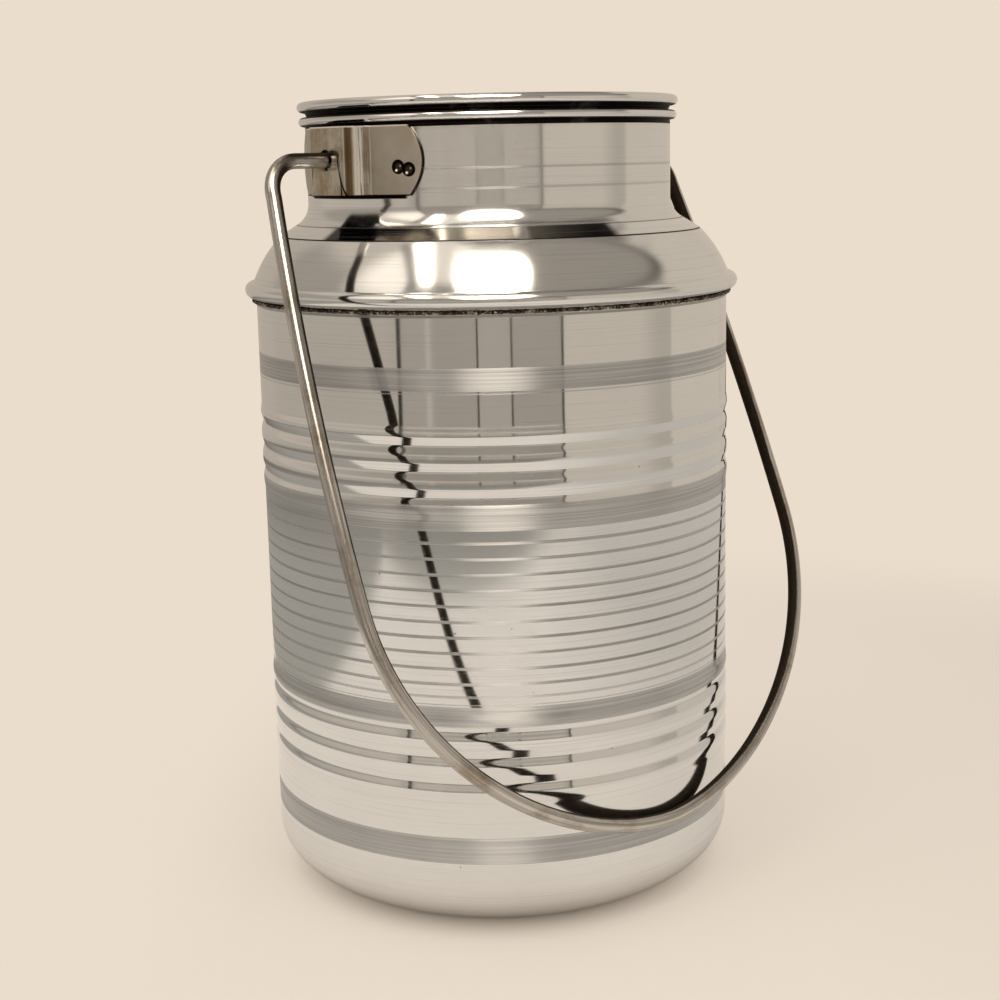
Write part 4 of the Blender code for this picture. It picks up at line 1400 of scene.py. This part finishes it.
def burnt_pits(side_degrees, flanges):
    """Two burnt pits on each flange named: the middle of each, and its painted glints."""
    pits = []
    for flange in flanges:
        for degrees, height in PITS:
            middle = side_degrees + flange * degrees
            glints = [on_skin(middle + turn, height + rise) for turn, rise in PIT_GLINTS]
            pits.append((on_skin(middle, height), glints))
    return pits


for ear_name, node_name, side_turn, flanges in (("ear_strap_left", "ear_left", math.pi, (1.0,)),
                                                ("ear_strap_right", "ear_right", 0.0, (-1.0, 1.0))):
    pits = burnt_pits(math.degrees(side_turn), flanges)
    placed = Matrix.Translation((0.0, 0.0, ear_middle_z)) @ Matrix.Rotation(side_turn, 4, "Z")
    ear_rows = strap_rows((ear_high.z - ear_low.z) / 2, EAR_ROWS, ear_path)
    ear = new_object(ear_name, strap_mesh(ear_name, ear_rows, placed))
    press_pits(ear.data, pits)
    out = (math.cos(side_turn), math.sin(side_turn), 0.0)
    drilled(ear, (ear_reach * out[0], ear_reach * out[1], PIVOT_Z), EAR_HOLE_RADIUS, out)
    break_edges(ear, EAR_BEVEL, tinted_strip("heat_tinted_" + ear_name, pits, "8A6A3E"))
    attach(ear, "can")
    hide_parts(node_name)

# %% [markdown]
# ## Bail
#
# The bail is one length of round drawn wire, five millimetres thick. Its ends are
# turned in through the ears and upset behind them, so they can't pull out. Wire
# follows a path, so a Geometry Nodes tree carries a circle along it. The thickness
# of the ends and the way round the wire are kept as attributes: drawing leaves
# fine lines along the wire, and those follow them.

# %% Bail path
WIRE_RADIUS = 2.46 * MM
WIRE_SIDES = 32
BAIL_SLIDE = -2.0 * MM           # the bail lies over to the left ear
BAIL_HEAD_RADIUS = 3.7 * MM
BAIL_HEAD_LENGTH = 1.5 * MM
HEAD_CHAMFER = (0.8, 0.86)       # share of its length that is full, and how wide its end is
HEAD_STEP = 0.1 * MM             # the head narrows to the wire this far to both sides of its end
HEAD_CREASE = 40.0               # degrees: its sharper edges stay sharp
BAIL_BEND = 12.0 * MM
BAIL_TOP_HALF = 93.2 * MM
BAIL_MID_HALF = 100.0 * MM
BAIL_LOW_HALF = 102.3 * MM
BAIL_LEG_DROP = 142.0 * MM
BAIL_DROP = 234.4 * MM
BOW_POWER = 1.12                 # 1 draws an ellipse, a larger number a slimmer bow
LEG_STEPS = 32
BOW_STEPS = 64


def bail_half():
    """One side of the bail as (x, z, thickness) from its upset end to the bottom of the bow."""
    head = BAIL_HEAD_RADIUS / WIRE_RADIUS
    head_end = ear_reach - STRAP - GAP + BAIL_SLIDE
    points = [(head_end - BAIL_HEAD_LENGTH, 0.0, head * HEAD_CHAMFER[1]),
              (head_end - HEAD_CHAMFER[0] * BAIL_HEAD_LENGTH, 0.0, head),
              (head_end - HEAD_STEP, 0.0, head),
              (head_end + HEAD_STEP, 0.0, 1.0)]
    for x, z in round_arc((BAIL_TOP_HALF - BAIL_BEND, -BAIL_BEND), BAIL_BEND, 90.0, 0.0, 24):
        points.append((x, z, 1.0))
    for step in range(1, LEG_STEPS + 1):
        t = step / LEG_STEPS
        x = (BAIL_TOP_HALF * (1 - t) * (1 - 2 * t) + BAIL_MID_HALF * 4 * t * (1 - t)
             + BAIL_LOW_HALF * t * (2 * t - 1))
        points.append((x, -BAIL_BEND - (BAIL_LEG_DROP - BAIL_BEND) * t, 1.0))
    for step in range(1, BOW_STEPS + 1):
        angle = math.radians(90.0 * step / BOW_STEPS)
        points.append((BAIL_LOW_HALF * max(math.cos(angle), 0.0) ** BOW_POWER,
                       -BAIL_LEG_DROP - (BAIL_DROP - BAIL_LEG_DROP) * math.sin(angle), 1.0))
    return points


def bail_mesh(name):
    """Edges along the middle of the wire, with its thickness and the millimetres travelled."""
    half = bail_half()
    points = half + [(-x, z, thickness) for x, z, thickness in reversed(half[:-1])]
    lean = math.asin((body_radius + WIRE_RADIUS + GAP) / BAIL_DROP)
    places = [(BAIL_SLIDE + x, math.sin(lean) * z, PIVOT_Z + math.cos(lean) * z) for x, z, _ in points]
    mesh = bpy.data.meshes.new(name)
    mesh.from_pydata(places, [(index, index + 1) for index in range(len(places) - 1)], [])
    print("bail wire is", round(note_along(mesh, places)), "mm long")
    thick = mesh.attributes.new("thickness", "FLOAT", "POINT")
    for index, point in enumerate(points):
        thick.data[index].value = point[2]
    return mesh


# %% Wire tree
def wire_tree():
    """Carry a circle along a path: inputs for the wire's radius, sides and material."""
    tree = new_tree("Run a wire", [("Wire radius", "NodeSocketFloat"), ("Sides", "NodeSocketInt"),
                                   ("Material", "NodeSocketMaterial")])
    given = add(tree, "NodeGroupInput").outputs
    route = add(tree, "GeometryNodeMeshToCurve", {"Mesh": given["Geometry"]})
    ring = add(tree, "GeometryNodeCurvePrimitiveCircle", {"Resolution": given["Sides"],
                                                          "Radius": given["Wire radius"]})
    spot = add(tree, "GeometryNodeInputPosition").outputs[0]
    noted = add(tree, "GeometryNodeStoreNamedAttribute", {"Geometry": ring.outputs["Curve"], "Name": "round",
                                                          "Value": spot}, data_type="FLOAT_VECTOR")
    thick = add(tree, "GeometryNodeInputNamedAttribute", {"Name": "thickness"}, data_type="FLOAT")
    wire = add(tree, "GeometryNodeCurveToMesh", {"Curve": route.outputs["Curve"],
                                                 "Profile Curve": noted.outputs[0],
                                                 "Scale": thick.outputs[0], "Fill Caps": True})
    finish_tree(tree, wire.outputs["Mesh"], given["Material"])
    return tree


# %% Drawn wire
DIE_LINES = (1500.0, 0.03)       # per metre across the wire, and per millimetre along it
RUB_SIZE = 60.0                  # per metre
DARK_RISE = 0.5                  # painted shade: the shaded side looks at the can and this much up
DARK_FROM = (0.20, 0.36)


def drawn_wire():
    """Bright drawn wire with die lines, brown rubs, and painted shade on the side towards the can."""
    material, tree = new_material("drawn_stainless_wire")
    coordinates = add(tree, "ShaderNodeTexCoord").outputs
    place = coordinates["Object"]
    along = add(tree, "ShaderNodeAttribute", attribute_name=ATTRIBUTE).outputs["Fac"]
    ring = add(tree, "ShaderNodeAttribute", attribute_name="round").outputs["Vector"]
    lines = add(tree, "ShaderNodeTexNoise", {"Vector": brush_vector(tree, ring, along, *DIE_LINES),
                                             "Scale": 1.0, "Detail": 3.0})
    rubs = add(tree, "ShaderNodeTexNoise", {"Vector": place, "Scale": RUB_SIZE, "Detail": 5.0,
                                            "Roughness": 0.65})
    rubbed = add(tree, "ShaderNodeMapRange", {"Value": rubs.outputs["Fac"], "From Min": 0.48,
                                              "From Max": 0.72})
    tone = add(tree, "ShaderNodeMix", {"Factor": rubbed.outputs[0], 6: "D4D3D1", 7: "A0947F"},
               data_type="RGBA")
    lining = add(tree, "ShaderNodeMapRange", {"Value": lines.outputs["Fac"], "From Min": 0.35,
                                              "From Max": 0.70,
                                              "To Min": 0.0, "To Max": 0.6})
    lined = add(tree, "ShaderNodeMix", {"Factor": lining.outputs[0], 6: tone.outputs[2], 7: "6C665D"},
                data_type="RGBA")
    inwards = add(tree, "ShaderNodeVectorMath", {0: place, 1: (-1.0, -1.0, 0.0)}, operation="MULTIPLY")
    level = add(tree, "ShaderNodeVectorMath", {0: inwards.outputs[0]}, operation="NORMALIZE")
    raised = add(tree, "ShaderNodeVectorMath", {0: level.outputs[0], 1: (0.0, 0.0, DARK_RISE)},
                 operation="ADD")
    towards = add(tree, "ShaderNodeVectorMath", {0: raised.outputs[0]}, operation="NORMALIZE")
    facing = add(tree, "ShaderNodeVectorMath", {0: coordinates["Normal"], 1: towards.outputs[0]},
                 operation="DOT_PRODUCT")
    uneven = add(tree, "ShaderNodeMath", {0: rubs.outputs["Fac"], 1: 0.3, 2: facing.outputs["Value"]},
                 operation="MULTIPLY_ADD")
    dark = add(tree, "ShaderNodeMapRange", {"Value": uneven.outputs[0], "From Min": DARK_FROM[0],
                                            "From Max": DARK_FROM[1]})
    rough = add(tree, "ShaderNodeMapRange", {"Value": lines.outputs["Fac"], "To Min": 0.13, "To Max": 0.32})
    bump = add(tree, "ShaderNodeBump", {"Strength": 0.10, "Distance": 0.05 * MM,
                                        "Height": lines.outputs["Fac"]})
    bright = add(tree, "ShaderNodeBsdfPrincipled", {"Base Color": lined.outputs[2], "Metallic": 1.0,
                                                    "Roughness": rough.outputs[0], "Normal": bump.outputs[0]})
    # painted shade: a dark, rough shader on the side towards the can
    dark_side_tone = add(tree, "ShaderNodeMix", {"Factor": rubs.outputs["Fac"], 6: "080604", 7: "2C2214"},
               data_type="RGBA")
    shaded_side = add(tree, "ShaderNodeBsdfPrincipled", {"Base Color": dark_side_tone.outputs[2], "Metallic": 0.0,
                                                  "Specular IOR Level": 0.1, "Roughness": 0.6,
                                                  "Normal": bump.outputs[0]})
    both = add(tree, "ShaderNodeMixShader", {0: dark.outputs[0], 1: bright.outputs[0], 2: shaded_side.outputs[0]})
    add(tree, "ShaderNodeOutputMaterial", {"Surface": both.outputs[0]})
    return material


bail = new_object("bail_wire", bail_mesh("bail_wire"))
run_tree(bail, wire_tree(), {"Wire radius": WIRE_RADIUS, "Sides": WIRE_SIDES, "Material": drawn_wire()})
bail.data.set_sharp_from_angle(angle=math.radians(HEAD_CREASE))
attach(bail, "bail")
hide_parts("bail_handle")

# %% [markdown]
# ## Grip in the lid
#
# A short strap stands in the lid's dish, low enough to clear the rim. It is bent
# like the ears and spot welded at both feet.

# %% Grip
GRIP_HEIGHT = 14.5 * MM
GRIP_HALF_SPAN = 22.0 * MM
GRIP_SPREAD = 3.0 * MM           # feet beyond the bar
GRIP_ROUNDING = 3.0 * MM         # how far a foot's end is rounded back
# its bends: mm inwards and up from the foot's inner end, then mm inwards and up from the bar's end
FOOT_BEND = ((-2.5, 0.0), (-0.6, 0.0), (0.2, 1.2))
BAR_BEND = ((-0.5, -2.6), (0.4, -0.5), (2.4, 0.0))
FOOT_STEP = 0.8 * MM             # longest steps along a foot and along the bar
BAR_STEP = 1.5 * MM
GRIP_BEVEL = 0.25 * MM
GRIP_ROWS = 25


def grip_path(bulge):
    """Side view of the strap grip: foot, riser, bar, riser, foot."""
    top = GRIP_HEIGHT - STRAP / 2
    low = STRAP / 2
    bar = GRIP_HALF_SPAN
    foot = -bar - GRIP_SPREAD
    end = -grip_high.x + GRIP_ROUNDING * (1.0 - bulge)
    corner = [(foot + inwards * MM, low + up * MM) for inwards, up in FOOT_BEND]
    corner += [(inwards * MM - bar, top + up * MM) for inwards, up in BAR_BEND]
    side = refine([(end, low), corner[0]], FOOT_STEP)[:-1] + soften(corner, 2)
    side += refine([side[-1], (0.0, top)], BAR_STEP)[1:-1]
    return side + [(0.0, top)] + [(-x, z) for x, z in reversed(side)]


upright = Matrix.Translation((0.0, 0.0, grip_low.z)) @ Matrix.Rotation(math.pi / 2, 4, "X")
grip_rows = strap_rows(grip_high.y, GRIP_ROWS, grip_path)
grip = new_object("grip_strap", strap_mesh("grip_strap", grip_rows, upright))
break_edges(grip, GRIP_BEVEL, tinted_strip("bent_grip_strip", [], "A09078"))
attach(grip, "lid")
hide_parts("lid_grip")
